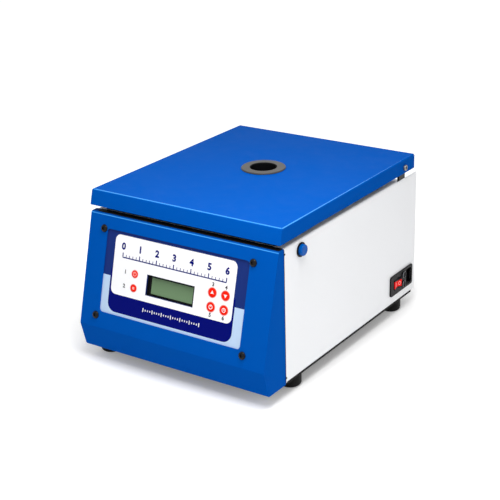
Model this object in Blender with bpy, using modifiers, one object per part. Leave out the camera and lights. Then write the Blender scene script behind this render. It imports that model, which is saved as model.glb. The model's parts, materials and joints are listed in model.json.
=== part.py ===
"""Bench cytocentrifuge with a sloping front panel, a hinged lid and a four-place slide rotor.

Metres, +Z up. The front faces -Y, and the origin is on the floor under the middle of the body.
"""

import math

import bmesh
import bpy
from mathutils import Matrix, Vector

# Body: what sets the size of the whole instrument
BODY_WIDTH = 0.300
BODY_LENGTH = 0.408
DECK_HEIGHT = 0.205
FOOT_HEIGHT = 0.018
SHEET = 0.0015

# Fits: gap between pieces that touch, wider gap round pieces that swing, and cutter overrun
CLEARANCE = 0.0003
SWING_CLEARANCE = 0.003
OVERRUN = 0.004

# Facets of round pieces, steps of a small bend, and the merge distance of turned shapes
LARGE_SIDES = 36
FOOT_SIDES = 24
MEDIUM_SIDES = 16
SMALL_SIDES = 12
HEX_SIDES = 6
BEND_STEPS = 3
MERGE_DISTANCE = 0.00001
FLAT_ANGLE = math.radians(0.01)

# Base plate and feet
BASE_THICKNESS = 0.002
BASE_SIDE_INSET = 0.0005
BASE_REAR_INSET = 0.010
FOOT_RADIUS = 0.015
FOOT_EDGE = 0.005
FOOT_RECESS_RADIUS = 0.006
FOOT_RECESS_DEPTH = 0.008
FOOT_SIDE_INSET = 0.0155
FOOT_FRONT_LEFT_FROM_FRONT = 0.044
FOOT_FRONT_RIGHT_FROM_FRONT = 0.0855
FOOT_REAR_FROM_BACK = 0.045

# Cover
COVER_BEND = 0.0025

# Fascia: the knee is its foremost edge
FASCIA_DEPTH = 0.0514
KNEE_RISE = 0.0368
TOP_SETBACK = 0.0398
BOTTOM_SETBACK = 0.0094
FASCIA_LIP = 0.0126
FASCIA_BEND = 0.003
BOTTOM_BEND = 0.005
FASCIA_EDGE = 0.0014
FASCIA_EDGE_STEPS = 2

# Label plate behind the fascia's window. Drops are measured down the slope from the deck.
LABEL_OFFSET = -0.0045
WINDOW_SIDE_MARGIN = 0.035
WINDOW_TOP_DROP = 0.019
WINDOW_TO_KNEE = 0.0224
WINDOW_CORNER = 0.005
LABEL_MARGIN = 0.013
LABEL_THICKNESS = 0.002
PANEL_SCREW_SIDE = 0.005
PANEL_SCREW_RISE = 0.006
PANEL_SCREW_SINK = 0.001
PANEL_SCREW_HEAD_RADIUS = 0.0053
PANEL_SCREW_HEAD_HEIGHT = 0.0029
PANEL_SCREW_RADIUS = 0.0019
PANEL_SCREW_LENGTH = 0.007

# Display
DISPLAY_OFFSET = -0.0034
DISPLAY_DROP = 0.0817
DISPLAY_WIDTH = 0.077
DISPLAY_HEIGHT = 0.0274
BEZEL_RIM = 0.0045
BEZEL_STEP = 0.0022
BEZEL_DEPTH = 0.007
GLASS_SINK = 0.001
GLASS_THICKNESS = 0.003

# Keys
KEY_SMALL_RADIUS = 0.0047
KEY_LARGE_RADIUS = 0.0059
KEY_PROUD = 0.0004
KEY_FLANGE = 0.001
KEY_STEM_RADIUS = 0.002
KEY_TRAVEL = 0.0005
LEFT_KEYS_X = -0.0625
RIGHT_KEYS_X = 0.0632
RIGHT_KEYS_PITCH = 0.0204
UPPER_LEFT_DROP = 0.0715
LOWER_LEFT_DROP = 0.0906
UPPER_RIGHT_DROP = 0.0700
LOWER_RIGHT_DROP = 0.0888

# Control board
BOARD_WIDTH = 0.190
BOARD_HEIGHT = 0.096
BOARD_THICKNESS = 0.0016
BOARD_PILLAR_RADIUS = 0.003
BOARD_PILLAR_INSET = 0.008
BOARD_BLOCK = (0.030, 0.022, 0.012)
BOARD_BLOCK_SPREAD = 0.052

# Lid
LID_OVERHANG = 0.002
LID_LIFT = 0.0083
LID_HEIGHT = 0.0207
LID_BACK_SETBACK = 0.0106
LID_EDGE = 0.002
LID_EDGE_STEPS = 2
LINER_SHEET = 0.002
LINER_DROP = 0.0023
LINER_SIDE_INSET = 0.010
LINER_REAR_INSET = 0.002
LINER_CORNER = 0.010

# Port in the lid
PORT_RING_RADIUS = 0.0313
PORT_RING_THICKNESS = 0.0018
PORT_BORE_RADIUS = 0.0185
PORT_SLEEVE_WALL = 0.002
PORT_MOUTH_BEND = 0.0015
PORT_LEDGE = 0.002
PORT_LEDGE_THICKNESS = 0.0015
PORT_WINDOW_THICKNESS = 0.002

# Lid hinges
HINGE_FROM_BACK = 0.0424
HINGE_ABOVE_DECK = 0.0167
BRACKET_THICKNESS = 0.003
BRACKET_RADIUS = 0.009
HINGE_SCREW_RADIUS = 0.003
HINGE_HEAD_RADIUS = 0.0042
HINGE_HEAD_HEIGHT = 0.0028
HINGE_SCREW_TIP = 0.0012
HEX_RADIUS = 0.0023
HEX_DEPTH = 0.0018
RECESS_MARGIN = 0.0065
REAR_FLANGE = 0.007
VENT_COUNT = 6
VENT_PITCH = 0.010
VENT_WIDTH = 0.080
VENT_HEIGHT = 0.0032
VENT_DROP = 0.060

# Lid latch and its release button
BUTTON_FROM_JOINT = 0.0382
BUTTON_BELOW_DECK = 0.0133
BUTTON_RADIUS = 0.0075
BUTTON_PROUD = 0.0048
BUTTON_LENGTH = 0.011
BUTTON_CROWN = 0.0016
BUTTON_TRAVEL = 0.004
PLUNGER_RADIUS = 0.003
BARREL_WALL = 0.0007
BARREL_RIM = 0.0012
BARREL_RIM_THICKNESS = 0.0015
BARREL_END_WALL = 0.0015
SPRING_WIRE_RADIUS = 0.0005
SPRING_RADIUS = 0.0055
SPRING_COILS = 4
SPRING_STEPS_PER_COIL = 8
SPRING_LENGTH = 0.009
TONGUE_THICKNESS = 0.002
TONGUE_WIDTH = 0.014
TONGUE_FOOT = 0.012
TONGUE_BELOW_BOLT = 0.006
PLUNGER_REACH = 0.0035
TONGUE_WINDOW_WIDTH = 0.009
TONGUE_WINDOW_HEIGHT = 0.006
BOLT_THICKNESS = 0.003
BOLT_RAIL = 0.003
BOLT_INNER_LENGTH = 0.012
BOLT_TAIL_WIDTH = 0.010
BOLT_TAIL_LENGTH = 0.010
LATCH_PLATE_WIDTH = 0.030
LATCH_PLATE_THICKNESS = 0.002
LATCH_PLATE_DROP = 0.034
LATCH_FLANGE = 0.012
SWITCH_SIZE = (0.006, 0.020, 0.010)

# Seal on the deck
SEAL_SIDE_INSET = 0.010
SEAL_FRONT_INSET = 0.0026
SEAL_CORNER = 0.008
SEAL_HOLE_MARGIN = 0.001

# Chamber bowl: the rotor turns on its axis
ROTOR_Y = 0.030
BOWL_MARGIN = 0.004
BOWL_FLANGE = 0.0058
BOWL_WALL = 0.0012
BOWL_DEPTH = 0.100
BOWL_CORNER = 0.010
BOWL_SHAFT_HOLE_RADIUS = 0.016
DECK_HOLE_MARGIN = 0.0008

# Motor and its rubber mounts
MOTOR_RADIUS = 0.038
MOTOR_FLOOR_GAP = 0.006
MOTOR_TOP_GAP = 0.006
MOTOR_BOSS_RADIUS = 0.013
MOTOR_BOSS_HEIGHT = 0.004
MOTOR_BORE_DEPTH = 0.025
MOTOR_FLANGE_RADIUS = 0.050
MOTOR_FLANGE_THICKNESS = 0.004
MOTOR_PLATE_RADIUS = 0.074
MOTOR_PLATE_THICKNESS = 0.003
MOUNT_COUNT = 3
MOUNT_RADIUS = 0.009
MOUNT_WAIST_RADIUS = 0.0065
MOUNT_HEIGHT = 0.039
MOUNT_RIM_HEIGHT = 0.004

# Rotor
SHAFT_RADIUS = 0.005
SHAFT_COLLAR_RADIUS = 0.009
SHAFT_COLLAR_THICKNESS = 0.003
SHAFT_COLLAR_ABOVE_FLOOR = 0.006
SHAFT_THREAD_RADIUS = 0.004
HUB_RADIUS = 0.016
HUB_HEIGHT = 0.030
ARM_RISE = 0.012
ARM_THICKNESS = 0.004
ARM_SHORT_OF_PIVOT = 0.010
ARM_WIDTH = 0.046
EAR_THICKNESS = 0.0025
EAR_INNER_MARGIN = 0.016
EAR_OUTER_MARGIN = 0.008
EAR_ABOVE_PIVOT = 0.005
ROTOR_KNOB_RADIUS = 0.013
ROTOR_KNOB_HEIGHT = 0.018
ROTOR_KNOB_ROOF = 0.004
ROTOR_KNOB_CROWN = 0.003

# Slide carriers: they hang from the ears and swing upright as the rotor spins
CARRIER_COUNT = 4
CARRIER_TILT = math.radians(15)
PIVOT_TO_BOWL = 0.0291
PIVOT_ABOVE_FLOOR = 0.059
PIVOT_PIN_RADIUS = 0.002
CARRIER_SHEET = 0.001
CARRIER_WIDTH = 0.030
CARRIER_DEPTH = 0.008
CARRIER_BACK_REACH = 0.004
CARRIER_ABOVE_PIVOT = 0.025
CARRIER_BELOW_PIVOT = 0.048
SLIDE_THICKNESS = 0.001
CHAMBER_PLATE_THICKNESS = 0.0035
CHAMBER_PLATE_ABOVE_PIVOT = 0.019
CHAMBER_PLATE_BELOW_PIVOT = 0.034
FUNNEL_RADIUS = 0.008
FUNNEL_WALL = 0.0015
FUNNEL_INWARD = 0.012
FUNNEL_ABOVE_PIVOT = 0.017
FUNNEL_BELOW_PIVOT = 0.022
FUNNEL_CONE = 0.006
CHAMBER_PORT_RADIUS = 0.005
CHAMBER_PORT_BORE_RADIUS = 0.003
CHAMBER_PORT_ABOVE_TIP = 0.0055

# Power inlet on the right side
INLET_BACK_MARGIN = 0.0106
INLET_LENGTH = 0.067
INLET_HEIGHT = 0.031
INLET_BOTTOM_RISE = 0.0155
INLET_PLATE_THICKNESS = 0.002
INLET_CORNER = 0.003
INLET_RIM = 0.0035
INLET_BODY_DEPTH = 0.045
ROCKER_FROM_FRONT = 0.0201
ROCKER_LENGTH = 0.0172
ROCKER_HEIGHT = 0.015
ROCKER_PIVOT_DEPTH = 0.006
ROCKER_BACK = 0.003
ROCKER_END_PROUD = 0.0022
ROCKER_MIDDLE_PROUD = 0.0004
ROCKER_WELL_END_GAP = 0.0016
ROCKER_WELL_DEPTH = 0.012
ROCKER_SWING = math.radians(14)
FUSE_FROM_FRONT = 0.0391
FUSE_PITCH = 0.0146
FUSE_CAP_RADIUS = 0.0051
FUSE_CAP_PROUD = 0.0016
FUSE_STEM_RADIUS = 0.004
FUSE_STEM_LENGTH = 0.010
FUSE_SLOT_WIDTH = 0.0014
FUSE_SLOT_DEPTH = 0.0009
SOCKET_FROM_FRONT = 0.0555
SOCKET_LENGTH = 0.0165
SOCKET_HEIGHT = 0.0240
SOCKET_DEPTH = 0.016
SOCKET_CORNER = 0.004
PIN_LENGTH = 0.011
PIN_THICKNESS = 0.002
PIN_WIDTH = 0.004
PIN_PITCH = 0.007
PIN_SHIFT = 0.003

# Power supply on the base plate
SUPPLY_CORE = (0.060, 0.050, 0.050)
SUPPLY_COIL = (0.042, 0.066, 0.034)
SUPPLY_SIDE_INSET = 0.045
SUPPLY_BACK_INSET = 0.092

# Places worked out from the sizes above
SIDE_X = BODY_WIDTH / 2
INNER_X = SIDE_X - SHEET
FRONT_Y = -BODY_LENGTH / 2
BACK_Y = BODY_LENGTH / 2
JOINT_Y = FRONT_Y + FASCIA_DEPTH
TOP_EDGE_Y = FRONT_Y + TOP_SETBACK
BOTTOM_EDGE_Y = FRONT_Y + BOTTOM_SETBACK
LIP_END_Y = BOTTOM_EDGE_Y + FASCIA_LIP
KNEE_Z = FOOT_HEIGHT + KNEE_RISE
BASE_TOP = FOOT_HEIGHT + BASE_THICKNESS
DECK_UNDERSIDE = DECK_HEIGHT - SHEET
PANEL_TILT = math.atan2(TOP_SETBACK, DECK_HEIGHT - KNEE_Z)
PANEL_TURN = (math.pi / 2 - PANEL_TILT, 0, 0)
PANEL_LENGTH = math.hypot(TOP_SETBACK, DECK_HEIGHT - KNEE_Z)
WINDOW_WIDTH = BODY_WIDTH - 2 * WINDOW_SIDE_MARGIN
WINDOW_HEIGHT = PANEL_LENGTH - WINDOW_TOP_DROP - WINDOW_TO_KNEE

LID_BOTTOM = DECK_HEIGHT + LID_LIFT
LID_TOP = LID_BOTTOM + LID_HEIGHT
LID_UNDERSIDE = LID_TOP - SHEET
LID_SIDE_X = SIDE_X + LID_OVERHANG
LID_BACK_Y = BACK_Y - LID_BACK_SETBACK
LINER_BOTTOM = LID_BOTTOM - LINER_DROP
HINGE_Y = BACK_Y - HINGE_FROM_BACK
HINGE_Z = DECK_HEIGHT + HINGE_ABOVE_DECK
LID_TAIL_RADIUS = math.hypot(LID_BACK_Y - HINGE_Y, LID_TOP - HINGE_Z)
SHELF_Z = HINGE_Z - LID_TAIL_RADIUS - CLEARANCE
RECESS_FRONT_Y = HINGE_Y - BRACKET_RADIUS - RECESS_MARGIN

BOWL_FLANGE_RADIUS = RECESS_FRONT_Y - BOWL_MARGIN - ROTOR_Y
BOWL_OUTER_RADIUS = BOWL_FLANGE_RADIUS - BOWL_FLANGE
BOWL_RADIUS = BOWL_OUTER_RADIUS - BOWL_WALL
BOWL_TOP = DECK_HEIGHT + CLEARANCE + BOWL_WALL
BOWL_FLOOR = BOWL_TOP - BOWL_DEPTH
BOWL_UNDERSIDE = BOWL_FLOOR - BOWL_WALL
DECK_HOLE_RADIUS = BOWL_OUTER_RADIUS + DECK_HOLE_MARGIN
PORT_SLEEVE_RADIUS = PORT_BORE_RADIUS + PORT_SLEEVE_WALL

BUTTON_Y = JOINT_Y + BUTTON_FROM_JOINT
BUTTON_Z = DECK_HEIGHT - BUTTON_BELOW_DECK
BARREL_BORE_RADIUS = BUTTON_RADIUS + CLEARANCE
BARREL_RADIUS = BARREL_BORE_RADIUS + BARREL_WALL
BARREL_FACE_X = SIDE_X + CLEARANCE + BARREL_RIM_THICKNESS
BUTTON_TIP_X = BARREL_FACE_X + BUTTON_PROUD
BUTTON_BACK_X = BUTTON_TIP_X - BUTTON_LENGTH
BARREL_FLOOR_X = BUTTON_BACK_X - SPRING_LENGTH
BARREL_END_X = BARREL_FLOOR_X - BARREL_END_WALL
BOLT_OUTER_X = BARREL_END_X - PLUNGER_REACH
BOLT_SLOT_OUTER_X = BOLT_OUTER_X - BOLT_RAIL
TONGUE_OUTER_X = BOLT_SLOT_OUTER_X - BUTTON_TRAVEL - CLEARANCE
TONGUE_X = TONGUE_OUTER_X - TONGUE_THICKNESS
TONGUE_BOTTOM = BUTTON_Z - TONGUE_BELOW_BOLT
BOLT_INNER_X = TONGUE_X - BOLT_INNER_LENGTH
BOLT_SLOT_WIDTH = TONGUE_WIDTH + 2 * SWING_CLEARANCE
BOLT_WIDTH = BOLT_SLOT_WIDTH + 2 * BOLT_RAIL
LATCH_PLATE_X = BOLT_INNER_X - BUTTON_TRAVEL - CLEARANCE - LATCH_PLATE_THICKNESS

LABEL_FRONT = -SHEET - CLEARANCE
LABEL_BACK = LABEL_FRONT - LABEL_THICKNESS
WINDOW_DROP = WINDOW_TOP_DROP + WINDOW_HEIGHT / 2
BEZEL_FRONT = LABEL_BACK - CLEARANCE
BEZEL_BACK = BEZEL_FRONT - BEZEL_DEPTH
BOARD_FRONT = BEZEL_BACK - CLEARANCE
BOARD_BACK = BOARD_FRONT - BOARD_THICKNESS

MOTOR_PLATE_BOTTOM = BASE_TOP + 2 * CLEARANCE + MOUNT_HEIGHT
MOTOR_PLATE_TOP = MOTOR_PLATE_BOTTOM + MOTOR_PLATE_THICKNESS
MOTOR_BOTTOM = BASE_TOP + MOTOR_FLOOR_GAP
MOTOR_TOP = BOWL_UNDERSIDE - MOTOR_TOP_GAP
SHAFT_COLLAR_Z = BOWL_FLOOR + SHAFT_COLLAR_ABOVE_FLOOR
HUB_BOTTOM = SHAFT_COLLAR_Z + SHAFT_COLLAR_THICKNESS + CLEARANCE
HUB_TOP = HUB_BOTTOM + HUB_HEIGHT
ARM_BOTTOM = HUB_BOTTOM + ARM_RISE
PIVOT_Z = BOWL_FLOOR + PIVOT_ABOVE_FLOOR
PIVOT_RADIUS = BOWL_RADIUS - PIVOT_TO_BOWL
ARM_REACH = PIVOT_RADIUS - ARM_SHORT_OF_PIVOT
EAR_INNER_REACH = PIVOT_RADIUS - EAR_INNER_MARGIN

INLET_FRONT_FROM_JOINT = BACK_Y - INLET_BACK_MARGIN - INLET_LENGTH - JOINT_Y
INLET_FRONT_Y = JOINT_Y + INLET_FRONT_FROM_JOINT
INLET_Y = INLET_FRONT_Y + INLET_LENGTH / 2
INLET_Z = FOOT_HEIGHT + INLET_BOTTOM_RISE + INLET_HEIGHT / 2
INLET_FACE_X = SIDE_X + CLEARANCE + INLET_PLATE_THICKNESS
INLET_BODY_LENGTH = INLET_LENGTH - 2 * INLET_RIM
INLET_BODY_HEIGHT = INLET_HEIGHT - 2 * INLET_RIM
ROCKER_Y = INLET_FRONT_Y + ROCKER_FROM_FRONT
ROCKER_X = INLET_FACE_X - ROCKER_PIVOT_DEPTH
FUSE_Y = INLET_FRONT_Y + FUSE_FROM_FRONT
SOCKET_Y = INLET_FRONT_Y + SOCKET_FROM_FRONT

# Turns that lay a shape's own Z axis along the named direction
ALONG = {
    "X": Matrix.Rotation(math.pi / 2, 4, "Y"),
    "Y": Matrix.Rotation(-math.pi / 2, 4, "X"),
    "Z": Matrix.Identity(4),
}

# Planes that an outline is drawn in: across, up, and the direction that it is thickened in
PLANES = {
    "XY": Matrix.Identity(4),
    "YZ": Matrix(((0, 0, 1, 0), (1, 0, 0, 0), (0, 1, 0, 0), (0, 0, 0, 1))),
    "XZ": Matrix(((1, 0, 0, 0), (0, 0, -1, 0), (0, 1, 0, 0), (0, 0, 0, 1))),
}


def clear_scene():
    for old in list(bpy.data.objects):
        bpy.data.objects.remove(old, do_unlink=True)


def new_collection(name):
    collection = bpy.data.collections.new(name)
    bpy.context.scene.collection.children.link(collection)
    return collection


def principled(name, colour, roughness, metallic=0.0, transmission=0.0):
    material = bpy.data.materials.new(name)
    material.use_nodes = True
    shader = material.node_tree.nodes["Principled BSDF"]
    shader.inputs["Base Color"].default_value = (*colour, 1.0)
    shader.inputs["Roughness"].default_value = roughness
    shader.inputs["Metallic"].default_value = metallic
    shader.inputs["Transmission Weight"].default_value = transmission
    material.diffuse_color = (*colour, 1.0)
    return material


def new_object(name, mesh, place=(0, 0, 0)):
    item = bpy.data.objects.new(name, mesh)
    item.location = place
    CUTTERS.objects.link(item)
    item.hide_render = True
    item.display_type = "WIRE"
    return item


def finish(item, name, material, parent=None):
    """Turns a shape into a named sub-part of the instrument."""
    CUTTERS.objects.unlink(item)
    PARTS.objects.link(item)
    item.name = name
    item.hide_render = False
    item.display_type = "TEXTURED"
    item.data.materials.clear()
    item.data.materials.append(material)
    item.parent = parent
    return item


def box(size, place, turn=None):
    shape = bmesh.new()
    bmesh.ops.create_cube(shape, size=1, matrix=(turn or Matrix.Identity(4)) @ Matrix.Diagonal((*size, 1)))
    mesh = bpy.data.meshes.new("box")
    shape.to_mesh(mesh)
    shape.free()
    return new_object("box", mesh, place)


def span_box(one, other):
    """A box given by two opposite corners."""
    one, other = Vector(one), Vector(other)
    size = [abs(length) for length in other - one]
    return box(size, (one + other) / 2)


def cylinder(radius, start, length, along="Z", tip_radius=None, sides=MEDIUM_SIDES):
    """A cylinder or cone that starts at a point and runs along an axis."""
    shape = bmesh.new()
    lift = Matrix.Translation((0, 0, length / 2))
    tip = radius if tip_radius is None else tip_radius
    bmesh.ops.create_cone(
        shape, cap_ends=True, segments=sides, radius1=radius, radius2=tip, depth=length,
        matrix=ALONG[along] @ lift,
    )
    mesh = bpy.data.meshes.new("cylinder")
    shape.to_mesh(mesh)
    shape.free()
    return new_object("cylinder", mesh, start)


def turned(profile, place, along="Z", closed=False, sides=MEDIUM_SIDES):
    """A profile of (radius, height) points, top to bottom on its outer side, turned round an axis."""
    shape = bmesh.new()
    points = [shape.verts.new((radius, 0, height)) for radius, height in profile]
    for first, second in zip(points, points[1:] + points[:1] if closed else points[1:]):
        shape.edges.new((first, second))
    mesh = bpy.data.meshes.new("turned")
    shape.to_mesh(mesh)
    shape.free()
    item = new_object("turned", mesh, place)
    item.matrix_world = Matrix.Translation(place) @ ALONG[along]
    screw = item.modifiers.new("turn", "SCREW")
    screw.steps = screw.render_steps = sides
    screw.use_merge_vertices = True
    screw.merge_threshold = MERGE_DISTANCE
    screw.use_smooth_shade = True
    return item


def arc(centre, radius, start, end, steps):
    """Points of an arc from one angle to another, both ends included."""
    return [
        (
            centre[0] + radius * math.cos(start + (end - start) * step / steps),
            centre[1] + radius * math.sin(start + (end - start) * step / steps),
        )
        for step in range(steps + 1)
    ]


def rounded(corners, radii, closed=False):
    """A path whose corners are arcs. An open path keeps its two ends sharp."""
    points = []
    for index, corner in enumerate(corners):
        radius = radii[index] if isinstance(radii, (list, tuple)) else radii
        end = not closed and index in (0, len(corners) - 1)
        if end or radius <= 0:
            points.append(tuple(corner))
            continue
        here = Vector(corner)
        back = (Vector(corners[index - 1]) - here).normalized()
        ahead = (Vector(corners[(index + 1) % len(corners)]) - here).normalized()
        half = back.angle(ahead) / 2
        centre = here + (back + ahead).normalized() * (radius / math.sin(half))
        start = here + back * (radius / math.tan(half)) - centre
        finish_at = here + ahead * (radius / math.tan(half)) - centre
        first = math.atan2(start.y, start.x)
        turn = math.atan2(start.cross(finish_at), start.dot(finish_at))
        points += arc(centre, radius, first, first + turn, BEND_STEPS)
    return points


def shifted(corners, distance):
    """An open path's corners moved to its left by a distance."""
    moved = []
    for index, corner in enumerate(corners):
        here = Vector(corner)
        sides = []
        if index > 0:
            step = (here - Vector(corners[index - 1])).normalized()
            sides.append(Vector((-step.y, step.x)))
        if index < len(corners) - 1:
            step = (Vector(corners[index + 1]) - here).normalized()
            sides.append(Vector((-step.y, step.x)))
        middle = sum(sides, Vector((0, 0))).normalized()
        moved.append(tuple(here + middle * (distance / middle.dot(sides[0]))))
    return moved


def folded(corners, thickness, bend):
    """The outline of a sheet whose right face follows the corners, with an inside radius at each bend."""
    right_radii, left_radii = [], []
    for index, corner in enumerate(corners):
        if index in (0, len(corners) - 1):
            right_radii.append(0)
            left_radii.append(0)
            continue
        step = Vector(corner) - Vector(corners[index - 1])
        turns_left = step.cross(Vector(corners[index + 1]) - Vector(corner)) > 0
        right_radii.append(bend + thickness if turns_left else bend)
        left_radii.append(bend if turns_left else bend + thickness)
    left = shifted(corners, thickness)
    return rounded(corners, right_radii) + rounded(left, left_radii)[::-1]


def rectangle(width, height, corner=0.0, centre=(0, 0)):
    x, y = width / 2, height / 2
    corners = [(centre[0] + a * x, centre[1] + b * y) for a, b in ((-1, -1), (1, -1), (1, 1), (-1, 1))]
    return rounded(corners, corner, closed=True)


def circle(radius, centre=(0, 0), sides=MEDIUM_SIDES):
    return arc(centre, radius, 0, math.tau, sides)[:-1]


def plate(outlines, thickness, place, plane="XY"):
    """Flat outlines, the first with the others as its holes, thickened evenly to both sides."""
    curve = bpy.data.curves.new("outline", "CURVE")
    curve.dimensions = "2D"
    curve.fill_mode = "BOTH"
    curve.extrude = thickness / 2
    for outline in outlines:
        spline = curve.splines.new("POLY")
        spline.points.add(len(outline) - 1)
        spline.use_cyclic_u = True
        for point, (across, up) in zip(spline.points, outline):
            point.co = (across, up, 0, 1)
    drawn = new_object("outline", curve)
    bpy.context.view_layer.update()
    mesh = bpy.data.meshes.new_from_object(drawn.evaluated_get(bpy.context.evaluated_depsgraph_get()))
    shape = bmesh.new()
    shape.from_mesh(mesh)
    bmesh.ops.remove_doubles(shape, verts=shape.verts, dist=MERGE_DISTANCE)
    bmesh.ops.dissolve_limit(shape, angle_limit=FLAT_ANGLE, verts=shape.verts, edges=shape.edges)
    bmesh.ops.transform(shape, matrix=PLANES[plane], verts=shape.verts)
    bmesh.ops.recalc_face_normals(shape, faces=shape.faces)
    shape.to_mesh(mesh)
    shape.free()
    bpy.data.objects.remove(drawn, do_unlink=True)
    return new_object("plate", mesh, place)


def cut(item, *tools):
    for tool in tools:
        boolean = item.modifiers.new("cut", "BOOLEAN")
        boolean.operation = "DIFFERENCE"
        boolean.object = tool
    return item


def join(item, *tools):
    for tool in tools:
        boolean = item.modifiers.new("join", "BOOLEAN")
        boolean.operation = "UNION"
        boolean.object = tool
    return item


def bevel_edges(item, width, steps, chosen):
    """Rounds the edges whose two ends both pass a test."""
    mesh = item.data
    weights = mesh.attributes.new("bevel_weight_edge", "FLOAT", "EDGE")
    for edge in mesh.edges:
        ends = [mesh.vertices[index].co for index in edge.vertices]
        weights.data[edge.index].value = 1.0 if chosen(*ends) else 0.0
    bevel = item.modifiers.new("round", "BEVEL")
    bevel.limit_method = "WEIGHT"
    bevel.width = width
    bevel.segments = steps
    return item


def empty(name, place, turn=(0, 0, 0), parent=None):
    item = bpy.data.objects.new(name, None)
    item.location = place
    item.rotation_euler = turn
    item.parent = parent
    PARTS.objects.link(item)
    return item


def baked(item):
    """The shape's finished mesh, for copies that share it."""
    bpy.context.view_layer.update()
    mesh = bpy.data.meshes.new_from_object(item.evaluated_get(bpy.context.evaluated_depsgraph_get()))
    mesh.transform(item.matrix_world)
    return mesh


def base_plate():
    half = SIDE_X - BASE_SIDE_INSET
    narrow = INNER_X - CLEARANCE
    rear = BACK_Y - BASE_REAR_INSET
    right = [(narrow, LIP_END_Y + CLEARANCE), (narrow, JOINT_Y), (half, JOINT_Y), (half, rear)]
    left = [(-across, along) for across, along in reversed(right)]
    item = plate([right + left], BASE_THICKNESS, (0, 0, FOOT_HEIGHT + BASE_THICKNESS / 2))
    finish(item, "base_plate", BLACK_STEEL)


def feet():
    """Four rubber feet. The front left one stands further forward than the front right one."""
    across = SIDE_X - FOOT_SIDE_INSET
    rear = BACK_Y - FOOT_REAR_FROM_BACK
    height = FOOT_HEIGHT - CLEARANCE
    edge = arc((FOOT_RADIUS - FOOT_EDGE, FOOT_EDGE), FOOT_EDGE, 0, -math.pi / 2, BEND_STEPS)
    profile = [
        (0, height), (FOOT_RADIUS, height), *edge,
        (FOOT_RECESS_RADIUS, 0), (FOOT_RECESS_RADIUS, FOOT_RECESS_DEPTH), (0, FOOT_RECESS_DEPTH),
    ]
    places = (
        ("foot_front_left", -across, FRONT_Y + FOOT_FRONT_LEFT_FROM_FRONT),
        ("foot_front_right", across, FRONT_Y + FOOT_FRONT_RIGHT_FROM_FRONT),
        ("foot_rear_left", -across, rear),
        ("foot_rear_right", across, rear),
    )
    for name, x, y in places:
        finish(turned(profile, (x, y, 0), sides=FOOT_SIDES), name, RUBBER)


def cover():
    """Both sides and the deck in one sheet, open under the lid's tail."""
    bottom = BASE_TOP + CLEARANCE
    corners = [(SIDE_X, bottom), (SIDE_X, DECK_HEIGHT), (-SIDE_X, DECK_HEIGHT), (-SIDE_X, bottom)]
    length = BACK_Y - JOINT_Y
    item = plate([folded(corners, SHEET, COVER_BEND)], length, (0, (BACK_Y + JOINT_Y) / 2, 0), "XZ")
    bowl_hole = cylinder(
        DECK_HOLE_RADIUS, (0, ROTOR_Y, DECK_HEIGHT - OVERRUN), 2 * OVERRUN, sides=LARGE_SIDES,
    )
    tail_gap = span_box(
        (-INNER_X, RECESS_FRONT_Y, DECK_HEIGHT - OVERRUN), (INNER_X, BACK_Y + OVERRUN, DECK_HEIGHT + OVERRUN),
    )
    tongue_slot = span_box(
        (TONGUE_X - SWING_CLEARANCE, BUTTON_Y - BOLT_SLOT_WIDTH / 2, DECK_HEIGHT - OVERRUN),
        (TONGUE_OUTER_X + SWING_CLEARANCE, BUTTON_Y + BOLT_SLOT_WIDTH / 2, DECK_HEIGHT + OVERRUN),
    )
    barrel_hole = cylinder(
        BARREL_RADIUS + CLEARANCE, (SIDE_X - OVERRUN, BUTTON_Y, BUTTON_Z), 2 * OVERRUN, along="X",
    )
    inlet_hole = box(
        (2 * OVERRUN, INLET_BODY_LENGTH + 2 * CLEARANCE, INLET_BODY_HEIGHT + 2 * CLEARANCE),
        (SIDE_X, INLET_Y, INLET_Z),
    )
    cut(item, bowl_hole, tail_gap, tongue_slot, barrel_hole, inlet_hole)
    finish(item, "cover", WHITE_PAINT)


def rear_panel():
    """The back wall, with a shelf and a riser that make room for the lid's tail."""
    back = BACK_Y - CLEARANCE
    top = DECK_UNDERSIDE - CLEARANCE
    corners = [
        (back, BASE_TOP + CLEARANCE), (back, SHELF_Z), (RECESS_FRONT_Y, SHELF_Z),
        (RECESS_FRONT_Y, top), (RECESS_FRONT_Y - REAR_FLANGE, top),
    ]
    item = plate([folded(corners, SHEET, SHEET)], 2 * (INNER_X - CLEARANCE), (0, 0, 0), "YZ")
    for index in range(VENT_COUNT):
        height = SHELF_Z - VENT_DROP - index * VENT_PITCH
        cut(item, box((VENT_WIDTH, 2 * OVERRUN, VENT_HEIGHT), (0, BACK_Y, height)))
    for sign in (-1, 1):
        corner_x = sign * (INNER_X - COVER_BEND - CLEARANCE)
        front = RECESS_FRONT_Y - REAR_FLANGE - OVERRUN
        cut(item, span_box(
            (corner_x, front, SHELF_Z + 3 * SHEET), (sign * SIDE_X, RECESS_FRONT_Y + OVERRUN, DECK_HEIGHT),
        ))
    finish(item, "rear_panel", WHITE_PAINT)


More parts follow.
